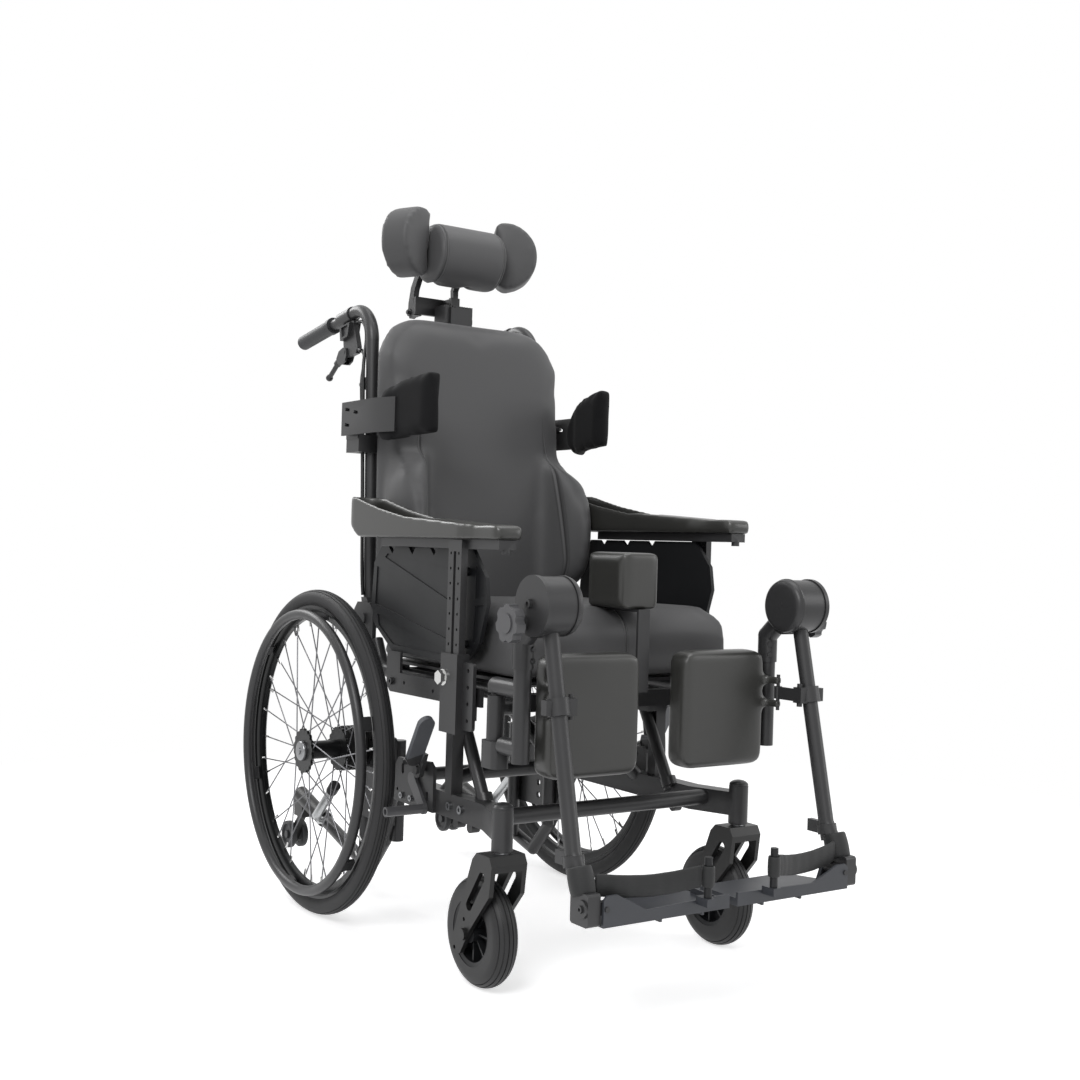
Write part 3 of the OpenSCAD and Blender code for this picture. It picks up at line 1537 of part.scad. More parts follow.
placed() base_frame();
placed() rear_axles();
placed() frame_bolts();
placed() kerb_tubes();
placed() tyre(-1);  // tyre_right
placed() tyre(1);  // tyre_left
placed() wheel(-1);  // wheel_right
placed() wheel(1);  // wheel_left
placed() handrim(-1);  // handrim_right
placed() handrim(1);  // handrim_left
placed() caster_fork(-1);  // caster_fork_right
placed() caster_fork(1);  // caster_fork_left
placed() caster_wheel(-1);  // caster_wheel_right
placed() caster_wheel(1);  // caster_wheel_left
placed() parking_lever(-1);  // parking_lever_right
placed() parking_lever(1);  // parking_lever_left
placed() parking_shoe(-1);  // parking_shoe_right
placed() parking_shoe(1);  // parking_shoe_left
placed() anti_tipper(-1);  // anti_tipper_right
placed() anti_tipper(1);  // anti_tipper_left
placed() anti_tip_wheels(-1);  // anti_tip_wheels_right
placed() anti_tip_wheels(1);  // anti_tip_wheels_left
placed() release_button(-1);  // release_button_right
placed() release_button(1);  // release_button_left
placed() tilt_cylinder();
placed() tilt_rod();
placed() seat_frame();
placed() seat_cushion();
placed() pommel_bar();
placed() pommel_pad();
placed() armrest_post(-1);  // armrest_post_right
placed() armrest_post(1);  // armrest_post_left
placed() arm_pad(-1);  // arm_pad_right
placed() arm_pad(1);  // arm_pad_left
placed() side_panel(-1);  // side_panel_right
placed() side_panel(1);  // side_panel_left
placed() legrest_hanger(-1);  // legrest_hanger_right
placed() legrest_hanger(1);  // legrest_hanger_left
placed() lower_leg(-1);  // lower_leg_right
placed() lower_leg(1);  // lower_leg_left
placed() elevation_knob(-1);  // elevation_knob_right
placed() elevation_knob(1);  // elevation_knob_left
placed() calf_pad(-1);  // calf_pad_right
placed() calf_pad(1);  // calf_pad_left
placed() footplate(-1);  // footplate_right
placed() footplate(1);  // footplate_left
placed() heel_strap(-1);  // heel_strap_right
placed() heel_strap(1);  // heel_strap_left
placed() back_frame();
placed() back_cushion();
placed() push_grips();
placed() hand_lever(-1);  // hand_lever_right
placed() hand_lever(1);  // hand_lever_left
placed() lateral_brackets();
placed() lateral_pads();
placed() headrest_stem();
placed() headrest_roll();
placed() headrest_wing(-1);  // headrest_wing_right
placed() headrest_wing(1);  // headrest_wing_left
placed() brake_cables();
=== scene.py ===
# %% [markdown]
# A tilt in space wheelchair, dressed in cells.
# The frame, the wheels and every joint come ready made and in place. This lesson
# gives each piece its finish, and makes what is soft: the cushions, the pads,
# the straps and the cables. All lengths are metres, +Z is up and the sitter
# faces -Y.

# %% Load the frame
import json
import math

import bmesh
import bpy
from mathutils import Matrix, Vector


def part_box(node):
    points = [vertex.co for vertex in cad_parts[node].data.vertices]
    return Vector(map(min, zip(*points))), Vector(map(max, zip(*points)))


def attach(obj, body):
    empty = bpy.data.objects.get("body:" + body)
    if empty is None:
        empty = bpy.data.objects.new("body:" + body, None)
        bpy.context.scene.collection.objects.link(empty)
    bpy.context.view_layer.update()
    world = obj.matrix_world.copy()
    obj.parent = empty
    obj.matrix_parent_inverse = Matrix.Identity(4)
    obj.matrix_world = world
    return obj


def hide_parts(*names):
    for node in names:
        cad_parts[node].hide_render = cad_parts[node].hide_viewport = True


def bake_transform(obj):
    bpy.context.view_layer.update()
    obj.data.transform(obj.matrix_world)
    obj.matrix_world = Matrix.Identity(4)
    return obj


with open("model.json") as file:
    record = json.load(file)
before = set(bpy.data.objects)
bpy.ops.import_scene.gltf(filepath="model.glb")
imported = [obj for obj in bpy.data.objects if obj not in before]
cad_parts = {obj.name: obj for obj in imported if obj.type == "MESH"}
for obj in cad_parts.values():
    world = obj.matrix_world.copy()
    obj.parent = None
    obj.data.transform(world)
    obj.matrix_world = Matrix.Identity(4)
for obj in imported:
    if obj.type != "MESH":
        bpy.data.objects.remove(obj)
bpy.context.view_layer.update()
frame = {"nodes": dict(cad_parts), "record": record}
nodes = frame["nodes"]
MM = 0.001
AXLE_BACK = 0.2565
WHEEL_RADIUS = 0.305


def at(x, y, z):
    """A point given in millimetres from the floor under the rear axle."""
    return Vector((x * MM, y * MM + AXLE_BACK, z * MM))


# %% [markdown]
# The camera comes first, because everything after it is judged through it. It
# stands at sitting height in front of the chair, on its right, and leans a
# little. The long lens keeps the near wheel from looking too large.

# %% Camera
HEADING, CLIMB, LEAN = (math.radians(a) for a in (-33.907, 0.258, 1.729))
EYE = at(-1390.38, -2366.95, 705.70)
ahead = Vector((
    -math.sin(HEADING) * math.cos(CLIMB),
    math.cos(HEADING) * math.cos(CLIMB),
    math.sin(CLIMB),
))
right = ahead.cross(Vector((0, 0, 1))).normalized()
above = right.cross(ahead)
across = right * math.cos(LEAN) + above * math.sin(LEAN)
upward = above * math.cos(LEAN) - right * math.sin(LEAN)
lens = bpy.data.cameras.new("camera")
lens.lens = 45
lens.sensor_width = 36
camera = bpy.data.objects.new("camera", lens)
camera.matrix_world = Matrix((
    (across.x, upward.x, -ahead.x, EYE.x),
    (across.y, upward.y, -ahead.y, EYE.y),
    (across.z, upward.z, -ahead.z, EYE.z),
    (0, 0, 0, 1),
))
bpy.context.scene.collection.objects.link(camera)
bpy.context.scene.camera = camera
bpy.context.scene.view_settings.view_transform = "Standard"
print("camera at", [round(c, 3) for c in EYE])

# %% [markdown]
# The studio is a wide pale floor, a bright sky and four large soft lamps. The
# white behind the chair is a trick of Light Path: the camera and the mirror-like
# pieces see white, while the lamps alone decide how bright the chair is.


# %% Studio
def lin(text):
    """An sRGB hex colour as the linear numbers that a shader takes."""
    parts = [int(text[i:i + 2], 16) / 255 for i in (1, 3, 5)]
    return (*(p / 12.92 if p <= 0.04045 else ((p + 0.055) / 1.055) ** 2.4 for p in parts), 1)


def add(tree, kind, settings=None, **links):
    """Adds a node. A link is a socket or a value; a name like i1 means input 1."""
    n = tree.nodes.new(kind)
    for key, value in (settings or {}).items():
        setattr(n, key, value)
    for key, value in links.items():
        place = int(key[1:]) if key[0] == "i" and key[1:].isdigit() else key.replace("_", " ")
        socket = n.inputs[place]
        if isinstance(value, bpy.types.NodeSocket):
            tree.links.new(value, socket)
        else:
            socket.default_value = value
    return n


def seen_directly(tree):
    """1 where the camera, a mirror or glass looks straight at the surface."""
    rays = add(tree, "ShaderNodeLightPath")
    first = add(tree, "ShaderNodeMath", {"operation": "MAXIMUM"},
                i0=rays.outputs["Is Camera Ray"], i1=rays.outputs["Is Glossy Ray"])
    return add(tree, "ShaderNodeMath", {"operation": "MAXIMUM"}, i0=first.outputs[0],
               i1=rays.outputs["Is Transmission Ray"]).outputs[0]


FLOOR_GLOW = 0.60
PALE_NEAR, WHITE_FAR = 1.0, 2.2
FLOOR_HALF = 30
floor_paint = bpy.data.materials.new("pale studio floor")
floor_paint.use_nodes = True
tree = floor_paint.node_tree
tree.nodes.clear()
matt = add(tree, "ShaderNodeBsdfDiffuse", Color=lin("#e9e9ea"))
glow = add(tree, "ShaderNodeEmission", Color=(1, 1, 1, 1), Strength=FLOOR_GLOW)
near_chair = add(tree, "ShaderNodeAddShader", i0=matt.outputs[0], i1=glow.outputs[0])
far_away = add(tree, "ShaderNodeEmission", Color=(1, 1, 1, 1), Strength=1.0)
spot = add(tree, "ShaderNodeTexCoord").outputs["Object"]
reach = add(tree, "ShaderNodeVectorMath", {"operation": "LENGTH"}, i0=spot)
fade = add(tree, "ShaderNodeMapRange", Value=reach.outputs["Value"], From_Min=PALE_NEAR,
           From_Max=WHITE_FAR)
lit = add(tree, "ShaderNodeMixShader", i0=fade.outputs[0], i1=near_chair.outputs[0],
          i2=far_away.outputs[0])
either = add(tree, "ShaderNodeMixShader", i0=seen_directly(tree), i1=matt.outputs[0],
             i2=lit.outputs[0])
add(tree, "ShaderNodeOutputMaterial", Surface=either.outputs[0])

ground = bpy.data.meshes.new("floor")
ground.from_pydata([(x * FLOOR_HALF, y * FLOOR_HALF, 0)
                    for x, y in ((-1, -1), (1, -1), (1, 1), (-1, 1))], [], [(0, 1, 2, 3)])
floor = bpy.data.objects.new("floor", ground)
bpy.context.scene.collection.objects.link(floor)
ground.materials.append(floor_paint)

world = bpy.data.worlds.new("studio sky")
bpy.context.scene.world = world
world.use_nodes = True
tree = world.node_tree
tree.nodes.clear()
sky = add(tree, "ShaderNodeBackground", Color=(1, 1, 1, 1), Strength=0.42)
white = add(tree, "ShaderNodeBackground", Color=(1, 1, 1, 1), Strength=1.0)
both_skies = add(tree, "ShaderNodeMixShader", i0=seen_directly(tree), i1=sky.outputs[0],
                 i2=white.outputs[0])
add(tree, "ShaderNodeOutputWorld", Surface=both_skies.outputs[0])


def softbox(name, place, target, power, size):
    """A rectangular lamp that looks from its place at the target; power is in watts."""
    lamp = bpy.data.lights.new(name, "AREA")
    lamp.energy = power
    lamp.shape = "RECTANGLE"
    lamp.size, lamp.size_y = size
    holder = bpy.data.objects.new(name, lamp)
    holder.location = place
    aim = Vector(target) - Vector(place)
    holder.rotation_euler = aim.to_track_quat("-Z", "Y").to_euler()
    bpy.context.scene.collection.objects.link(holder)


softbox("key", (-2.6, -2.2, 3.1), (0, 0, 0.7), 78, (1.6, 1.6))
softbox("fill", (3.2, -2.4, 1.9), (0, 0, 0.6), 26, (1.6, 1.8))
softbox("rim light", (-1.2, 3.2, 2.8), (0, 0, 0.8), 52, (2.4, 1.2))
softbox("overhead", (0.3, -0.2, 3.6), (0, 0, 0.5), 38, (2.2, 2.2))
print("studio ready")

# %% [markdown]
# Nearly every surface here has the same three layers: a colour that drifts a
# little, a roughness that drifts with it, and a fine relief. One function lays
# them down, and the real material decides its numbers. Grain sizes are real
# ones, in millimetres.


# %% The finish recipe
def finish(name, colour, rough, metal=0.0, grain=1.0, relief=0.1, drift=0.12, patch=60.0,
           drift_rough=0.06, shape="NOISE", **shader):
    """A material with a drifting colour (patch mm across) and a relief (grain mm across)."""
    m = bpy.data.materials.new(name)
    m.use_nodes = True
    t = m.node_tree
    t.nodes.clear()
    where = add(t, "ShaderNodeTexCoord").outputs["Object"]
    clouds = add(t, "ShaderNodeTexNoise", Vector=where, Scale=1000 / patch, Detail=4.0)
    base = lin(colour)
    dark = tuple(c * (1 - drift) for c in base[:3]) + (1,)
    light = tuple(min(1, c * (1 + drift)) for c in base[:3]) + (1,)
    hue = add(t, "ShaderNodeMix", {"data_type": "RGBA"}, i0=clouds.outputs[0], i6=dark, i7=light)
    wave = add(t, "ShaderNodeMapRange", Value=clouds.outputs[0], To_Min=max(0.03, rough - drift_rough),
               To_Max=min(1.0, rough + drift_rough))
    if shape == "NOISE":
        pits = add(t, "ShaderNodeTexNoise", Vector=where, Scale=1000 / grain, Detail=3.0)
    else:
        pits = add(t, "ShaderNodeTexVoronoi", {"feature": "SMOOTH_F1"}, Vector=where,
                   Scale=1000 / grain)
    bump = add(t, "ShaderNodeBump", Strength=min(1.0, relief * 2), Distance=grain * relief * MM,
               Height=pits.outputs[0])
    skin = add(t, "ShaderNodeBsdfPrincipled", Base_Color=hue.outputs[2],
               Roughness=wave.outputs[0], Metallic=metal, Normal=bump.outputs[0])
    for key, value in shader.items():
        skin.inputs[key.replace("_", " ")].default_value = value
    add(t, "ShaderNodeOutputMaterial", Surface=skin.outputs[0])
    return m


# %% [markdown]
# The tubes are steel under a baked powder coat. Powder melts into a skin with a
# faint orange-peel ripple about a millimetre across, and metal flake in it gives
# the grey a soft gleam.

# %% Metals
powder_coat = finish("anthracite powder coat", "#363637", 0.38, 0.25, grain=1.3, relief=0.05,
                     drift=0.06, drift_rough=0.04, Specular_IOR_Level=0.45)
black_powder = finish("black powder coat", "#181818", 0.40, grain=1.2, relief=0.06,
                      drift=0.08, Specular_IOR_Level=0.35)
anodised_black = finish("black anodised aluminium", "#161718", 0.34, 0.5, grain=0.6,
                        relief=0.04, drift=0.08)
bright_steel = finish("bright stainless steel", "#d4d4d3", 0.20, 1.0, grain=0.8, relief=0.02,
                      drift=0.05, drift_rough=0.08)
spoke_steel = finish("drawn stainless spoke wire", "#77777a", 0.30, 1.0, grain=0.5, relief=0.02,
                     drift=0.08)
zinc_bolt = finish("zinc plated steel", "#8b8c8e", 0.30, 1.0, grain=0.7, relief=0.04,
                   drift=0.07)
satin_tube = finish("satin anodised aluminium", "#c4c6c7", 0.36, 0.75, grain=0.8, relief=0.03,
                    drift=0.04)

# %% [markdown]
# Rubber and plastic pieces are moulded. Rubber is matt and shows dust in its
# grain; ABS takes the spark texture of its mould; urethane foam has a skin that
# shines softly, because it formed against a polished mould.

# %% Rubbers and plastics
tyre_rubber = finish("grey black tyre rubber", "#242425", 0.60, grain=1.6, relief=0.10,
                     drift=0.12, patch=40, Specular_IOR_Level=0.35)
caster_rubber = finish("caster tyre rubber", "#222223", 0.50, grain=1.4, relief=0.08,
                       drift=0.10, patch=35, Specular_IOR_Level=0.4)
grip_rubber = finish("moulded grip rubber", "#2a2b2d", 0.50, grain=1.0, relief=0.10,
                     drift=0.08, Specular_IOR_Level=0.4)
black_abs = finish("black spark textured ABS", "#141517", 0.46, grain=0.7, relief=0.12,
                   drift=0.08, shape="VORONOI", Specular_IOR_Level=0.35)
grey_abs = finish("grey moulded ABS", "#4a4a4c", 0.36, grain=0.8, relief=0.05, drift=0.05)
lever_sleeve = finish("grey lever sleeve", "#55575b", 0.42, grain=0.8, relief=0.06, drift=0.06)
plate_abs = finish("blue grey glass filled nylon", "#34363b", 0.42, grain=0.9, relief=0.10,
                   drift=0.07, shape="VORONOI")
red_abs = finish("red ABS", "#b5201b", 0.30, grain=0.6, relief=0.03, drift=0.05)
cable_sheath = finish("black cable sheath", "#101112", 0.42, grain=0.8, relief=0.04, drift=0.08)
foam_skin = finish("self skinned urethane foam", "#2f2f2d", 0.34, grain=1.1, relief=0.10,
                   drift=0.07, patch=90, shape="VORONOI", Specular_IOR_Level=0.6)

# %% [markdown]
# The covers are a knitted cloth with a stretchy urethane face: matt grey, with a
# leather grain about a millimetre across and a little sheen at grazing angles.
# The trunk pads wear neoprene, whose knit is coarser and darker.

# %% Fabrics
upholstery = finish("urethane coated knit", "#4b4b4c", 0.52, grain=1.1, relief=0.12, drift=0.05,
                    patch=120, shape="VORONOI", Sheen_Weight=0.08, Sheen_Roughness=0.5,
                    Specular_IOR_Level=0.35)
neoprene = finish("black neoprene", "#0c0c0e", 0.80, grain=1.2, relief=0.22, drift=0.10,
                  patch=30, Sheen_Weight=0.04, Sheen_Roughness=0.6, Specular_IOR_Level=0.15)
FOLD_HALF, CREASE_HALF, FOLD_DEPTH = 0.0035, 0.0016, 0.0018
STITCH_OFF, THREAD_HALF = 0.0042, 0.0006


def sewn(cloth, name, seam, along, stitch=0.0045):
    """A copy of a cloth with a seam, painted shade in the seam's crease, and a row of stitches on each
    side of it.

    seam(tree, where, xyz) gives the distance from the seam's line, and along is
    the axis that the stitches follow.
    """
    m = cloth.copy()
    m.name = name
    t = m.node_tree
    skin = t.nodes["Principled BSDF"]
    where = add(t, "ShaderNodeTexCoord").outputs["Object"]
    xyz = add(t, "ShaderNodeSeparateXYZ", Vector=where).outputs
    gap = add(t, "ShaderNodeMath", {"operation": "ABSOLUTE"}, i0=seam(t, where, xyz)).outputs[0]
    fold = add(t, "ShaderNodeMapRange", {"interpolation_type": "SMOOTHSTEP"}, Value=gap,
               From_Max=FOLD_HALF)
    row = add(t, "ShaderNodeMath", {"operation": "COMPARE"}, i0=gap, i1=STITCH_OFF,
              i2=THREAD_HALF)
    beat = add(t, "ShaderNodeMath", {"operation": "PINGPONG"}, i0=xyz[along], i1=stitch / 2)
    dash = add(t, "ShaderNodeMath", {"operation": "GREATER_THAN"}, i0=beat.outputs[0],
               i1=stitch * 0.18)
    thread_here = add(t, "ShaderNodeMath", {"operation": "MULTIPLY"}, i0=row.outputs[0],
                      i1=dash.outputs[0]).outputs[0]
    level = add(t, "ShaderNodeMath", {"operation": "MULTIPLY_ADD"}, i0=thread_here, i1=0.3,
                i2=fold.outputs[0])
    old_normal = skin.inputs["Normal"].links[0].from_socket
    relief = add(t, "ShaderNodeBump", Strength=1.0, Distance=FOLD_DEPTH, Height=level.outputs[0],
                 Normal=old_normal)
    t.links.new(relief.outputs[0], skin.inputs["Normal"])
    # Painted shade: the colour falls to a quarter on the seam line, where its crease would lie in
    # shadow, and the stitches are drawn a little darker.
    shade = add(t, "ShaderNodeMapRange", Value=gap, From_Max=CREASE_HALF, To_Min=0.25)
    darker = add(t, "ShaderNodeMath", {"operation": "MULTIPLY_ADD"}, i0=thread_here, i1=-0.35,
                 i2=shade.outputs[0])
    old_colour = skin.inputs["Base Color"].links[0].from_socket
    crease_shaded_colour = add(t, "ShaderNodeVectorMath", {"operation": "SCALE"}, i0=old_colour,
               Scale=darker.outputs[0])
    t.links.new(crease_shaded_colour.outputs[0], skin.inputs["Base Color"])
    return m


def centre_seam(t, where, xyz):
    """Down the middle of the seat."""
    return xyz[0]


def side_seams(t, where, xyz):
    """Two lines up the back, which come nearer each other towards the top."""
    out = add(t, "ShaderNodeMath", {"operation": "ABSOLUTE"}, i0=xyz[0]).outputs[0]
    line = add(t, "ShaderNodeMapRange", Value=xyz[2], From_Min=0.678, From_Max=1.062,
               To_Min=0.160, To_Max=0.134)
    high = add(t, "ShaderNodeMapRange", Value=xyz[2], From_Min=0.90, From_Max=0.99,
               To_Max=0.006).outputs[0]
    off = add(t, "ShaderNodeMath", {"operation": "SUBTRACT"}, i0=out, i1=line.outputs[0])
    off = add(t, "ShaderNodeMath", {"operation": "ABSOLUTE"}, i0=off.outputs[0])
    return add(t, "ShaderNodeMath", {"operation": "ADD"}, i0=off.outputs[0], i1=high).outputs[0]


def roll_seams(t, where, xyz):
    """Round each end of the head roll."""
    out = add(t, "ShaderNodeMath", {"operation": "ABSOLUTE"}, i0=xyz[0]).outputs[0]
    return add(t, "ShaderNodeMath", {"operation": "SUBTRACT"}, i0=out, i1=0.0670).outputs[0]


seat_cloth = sewn(upholstery, "seat cover cloth", centre_seam, 1)
back_cloth = sewn(upholstery, "back cover cloth", side_seams, 2)
roll_cloth = sewn(upholstery, "head roll cloth", roll_seams, 2)


def webbing_weave():
    """Nylon webbing: ribs 1.6 mm apart across the strap and a finer thread along it."""
    m = finish("black nylon webbing", "#121314", 0.66, grain=0.8, relief=0.15, drift=0.12,
               patch=20, Sheen_Weight=0.1)
    t = m.node_tree
    where = add(t, "ShaderNodeTexCoord").outputs["Object"]
    ribs = add(t, "ShaderNodeTexWave", {"bands_direction": "Z"}, Vector=where, Scale=95.0,
               Distortion=0.8, Detail=1.0)
    skin = t.nodes["Principled BSDF"]
    weave = add(t, "ShaderNodeBump", Strength=0.25, Distance=0.0003, Height=ribs.outputs[1])
    t.links.new(weave.outputs[0], skin.inputs["Normal"])
    return m


webbing = webbing_weave()
print(len(bpy.data.materials), "finishes")

# %% [markdown]
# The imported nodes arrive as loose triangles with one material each. Where a node
# holds two finishes, such as a wheel's black rim and bright spokes, each face
# picks its own by where it lies. A Geometry Nodes tree then shades them: it joins
# the loose corners and keeps an edge sharp only where the surface really turns.


# %% Dress the rigid nodes
def smooth_tree():
    """Joins loose triangles and smooths every edge that turns less than an angle."""
    tree = bpy.data.node_groups.new("shade by angle", "GeometryNodeTree")
    face = tree.interface
    face.new_socket("Geometry", in_out="INPUT", socket_type="NodeSocketGeometry")
    turn = face.new_socket("Sharpest smooth edge", in_out="INPUT", socket_type="NodeSocketFloat")
    turn.default_value = math.radians(32)
    face.new_socket("Geometry", in_out="OUTPUT", socket_type="NodeSocketGeometry")
    source = add(tree, "NodeGroupInput")
    joined = add(tree, "GeometryNodeMergeByDistance", Geometry=source.outputs[0],
                 Distance=0.00001)
    soft = add(tree, "GeometryNodeSetShadeSmooth", {"domain": "FACE"},
               Geometry=joined.outputs[0], Shade_Smooth=True)
    angle = add(tree, "GeometryNodeInputMeshEdgeAngle")
    gentle = add(tree, "FunctionNodeCompare", {"data_type": "FLOAT", "operation": "LESS_THAN"},
                 i0=angle.outputs[0], i1=source.outputs[1])
    edges = add(tree, "GeometryNodeSetShadeSmooth", {"domain": "EDGE"},
                Geometry=soft.outputs[0], Shade_Smooth=gentle.outputs[0])
    add(tree, "NodeGroupOutput", i0=edges.outputs[0])
    return tree


shade_by_angle = smooth_tree()


def dress(node, *finishes, pick=None):
    """Gives a node its finishes; pick(centre of a face) says which one that face takes."""
    o = nodes[node]
    o.data.materials.clear()
    for f in finishes:
        o.data.materials.append(f)
    if pick:
        for p in o.data.polygons:
            p.material_index = pick(p.center)
    shading = o.modifiers.new("shading", "NODES")
    shading.node_group = shade_by_angle


def off_axle(c):
    """Distance from the rear axle, in mm."""
    return math.hypot(c.y - AXLE_BACK, c.z - WHEEL_RADIUS) / MM


def side_of(c):
    """Distance from the chair's centre plane, in mm."""
    return abs(c.x) / MM


RIM_FROM, HUB_TO, DRUM_TO = 251, 45, 251


def wheel_face(c):
    """The black rim and hub shell, the bright spokes, and the brake drum."""
    r = off_axle(c)
    if r > RIM_FROM:
        return 0
    if r > HUB_TO:
        return 1
    return 2 if side_of(c) < DRUM_TO else 0


def caster_face(c):
    """The rubber tyre, and the moulded hub inside it."""
    hub = at(0, -533, 88)
    return 0 if math.hypot(c.y - hub.y, c.z - hub.z) / MM > 52.5 else 1


def plate_face(c):
    """The nylon plate, and its black strap pin."""
    return 1 if c.z / MM > 202.5 and side_of(c) < 74 else 0


def seat_face(c):
    """The tubes, and the bright knob that clamps each armrest."""
    knob = at(0, -434, 485)
    return 1 if side_of(c) > 271 and math.hypot(c.y - knob.y, c.z - knob.z) / MM < 17 else 0


def lever_face(c):
    """The bare pivot end, and the sleeve that the hand takes."""
    return 1 if c.z / MM > 336 else 0


def kerb_face(c):
    """The light tube, and the black cap on its end."""
    return 1 if c.y < at(0, 107, 0).y else 0


def base_face(c):
    """The powder coated tubes, and the black plate that closes each brake drum."""
    return 1 if off_axle(c) < 60 and side_of(c) > 192 else 0


for side in ("right", "left"):
    dress(f"tyre_{side}", tyre_rubber)
    dress(f"wheel_{side}", anodised_black, spoke_steel, black_powder, pick=wheel_face)
    dress(f"handrim_{side}", powder_coat)
    dress(f"caster_fork_{side}", black_powder)
    dress(f"caster_wheel_{side}", caster_rubber, black_abs, pick=caster_face)
    dress(f"parking_lever_{side}", powder_coat, lever_sleeve, pick=lever_face)
    dress(f"parking_shoe_{side}", grey_abs)
    dress(f"anti_tipper_{side}", black_powder)
    dress(f"anti_tip_wheels_{side}", grip_rubber)
    dress(f"release_button_{side}", red_abs)
    dress(f"armrest_post_{side}", powder_coat)
    dress(f"arm_pad_{side}", foam_skin)
    dress(f"side_panel_{side}", black_abs)
    dress(f"legrest_hanger_{side}", powder_coat)
    dress(f"lower_leg_{side}", powder_coat)
    dress(f"elevation_knob_{side}", grey_abs)
    dress(f"calf_pad_{side}", foam_skin)
    dress(f"footplate_{side}", plate_abs, black_abs, pick=plate_face)
    dress(f"heel_strap_{side}", webbing)
    dress(f"hand_lever_{side}", powder_coat)
    dress(f"headrest_wing_{side}", upholstery)
dress("base_frame", powder_coat, black_powder, pick=base_face)
dress("rear_axles", zinc_bolt)
dress("frame_bolts", zinc_bolt)
dress("kerb_tubes", satin_tube, black_abs, pick=kerb_face)
dress("tilt_cylinder", black_powder)
dress("tilt_rod", bright_steel)
dress("seat_frame", powder_coat, bright_steel, pick=seat_face)
dress("seat_cushion", upholstery)
dress("pommel_bar", powder_coat)
dress("pommel_pad", foam_skin)
dress("back_frame", powder_coat)
dress("back_cushion", upholstery)
dress("push_grips", grip_rubber)
dress("lateral_brackets", powder_coat)
dress("lateral_pads", neoprene)
dress("headrest_stem", powder_coat)
dress("headrest_roll", upholstery)
dress("brake_cables", cable_sheath)
print("dressed", len(nodes), "nodes")

# %% [markdown]
# The cushions are foam in a sewn cover. Foam pushes outwards and the cover holds
# it in, so between its corners a cushion swells and its edges go round. The plain
# solid is copied, wrapped in an even skin, and blown up a little as cloth. No
# point may move further than the foam really gives, and what rests on a board
# stays flat.


# %% Stuffing
def joined_copy(node, name):
    """A copy of a node's mesh, its loose corners joined."""
    mesh = bpy.data.meshes.new(name)
    bm = bmesh.new()
    bm.from_mesh(nodes[node].data)
    bmesh.ops.remove_doubles(bm, verts=bm.verts, dist=0.00001)
    bmesh.ops.dissolve_limit(bm, angle_limit=math.radians(0.6), verts=bm.verts, edges=bm.edges)
    bm.to_mesh(mesh)
    bm.free()
    o = bpy.data.objects.new(name, mesh)
    bpy.context.scene.collection.objects.link(o)
    return o


def settle(o):
    """The object's modifiers, applied."""
    graph = bpy.context.evaluated_depsgraph_get()
    mesh = bpy.data.meshes.new_from_object(o.evaluated_get(graph))
    mesh.name = o.name
    o.modifiers.clear()
    o.data = mesh
    return o


def wrap(o, voxel, ease=0.0, soft_edge=0.004):
    """Rounds o's edges, lays an even skin over it and draws that in by ease."""
    if soft_edge:
        rounding = o.modifiers.new("soft edge", "BEVEL")
        rounding.width = soft_edge
        rounding.segments = 3
        rounding.limit_method = "ANGLE"
        rounding.angle_limit = math.radians(35)
        rounding.use_clamp_overlap = True
    skin = o.modifiers.new("skin", "REMESH")
    skin.mode = "VOXEL"
    skin.voxel_size = voxel
    settle(o)
    if ease:
        normals = [v.normal.copy() for v in o.data.vertices]
        for v, n in zip(o.data.vertices, normals):
            v.co -= n * ease
    return o


def soften(o, rounds, stretch=(1, 1, 1)):
    """Evens o out that many times, then stretches it about its middle."""
    bm = bmesh.new()
    bm.from_mesh(o.data)
    for _ in range(rounds):
        bmesh.ops.smooth_vert(bm, verts=bm.verts, factor=0.5, use_axis_x=True,
                              use_axis_y=True, use_axis_z=True)
    corners = [v.co for v in bm.verts]
    middle = Vector([(min(c[k] for c in corners) + max(c[k] for c in corners)) / 2
                     for k in range(3)])
    for v in bm.verts:
        v.co = middle + Vector([(v.co[k] - middle[k]) * stretch[k] for k in range(3)])
    bm.to_mesh(o.data)
    bm.free()
    return o


def fill(pads, frames=18):
    """Blows up each (object, pressure, cap, flat test) as cloth and applies it."""
    scene = bpy.context.scene
    rest = {}
    for o, pressure, cap, flat in pads:
        rest[o] = [v.co.copy() for v in o.data.vertices]
        cloth = o.modifiers.new("cover", "CLOTH")
        cloth.settings.quality = 4
        cloth.settings.use_pressure = True
        cloth.settings.uniform_pressure_force = pressure
        cloth.settings.tension_stiffness = 12
        cloth.settings.compression_stiffness = 12
        cloth.settings.effector_weights.gravity = 0
        cloth.point_cache.frame_end = frames
    for f in range(1, frames + 1):
        scene.frame_set(f)
    graph = bpy.context.evaluated_depsgraph_get()
    for o, pressure, cap, flat in pads:
        blown = [v.co.copy() for v in o.evaluated_get(graph).data.vertices]
        o.modifiers.clear()
        for v, start, end in zip(o.data.vertices, rest[o], blown):
            move = end - start
            if move.length > cap:
                move *= cap / move.length
            v.co = start + move * flat(start)
        round_off = o.modifiers.new("even", "CORRECTIVE_SMOOTH")
        round_off.iterations = 4
        round_off.use_only_smooth = True
        finer = o.modifiers.new("finer", "SUBSURF")
        finer.levels = finer.render_levels = 1
        settle(o)
        for p in o.data.polygons:
            p.use_smooth = True
    scene.frame_set(1)


def cover(o, node, material, body):
    """Puts a pad in the place of its node: gives it its finish, hides the node and sends the pad along
    with its body.
    """
    o.data.materials.clear()
    o.data.materials.append(material)
    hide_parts(node)
    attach(o, body)
    print(o.name, len(o.data.polygons), "faces")


slots = {s["node"]: s["material_slot"] for s in frame["record"]["subparts"]}

# %% [markdown]
# Where a node is one solid in the frame but two materials in life, such as a
# padded roll on its steel arms, a plane cuts the copy in two and each half gets
# its own finish.


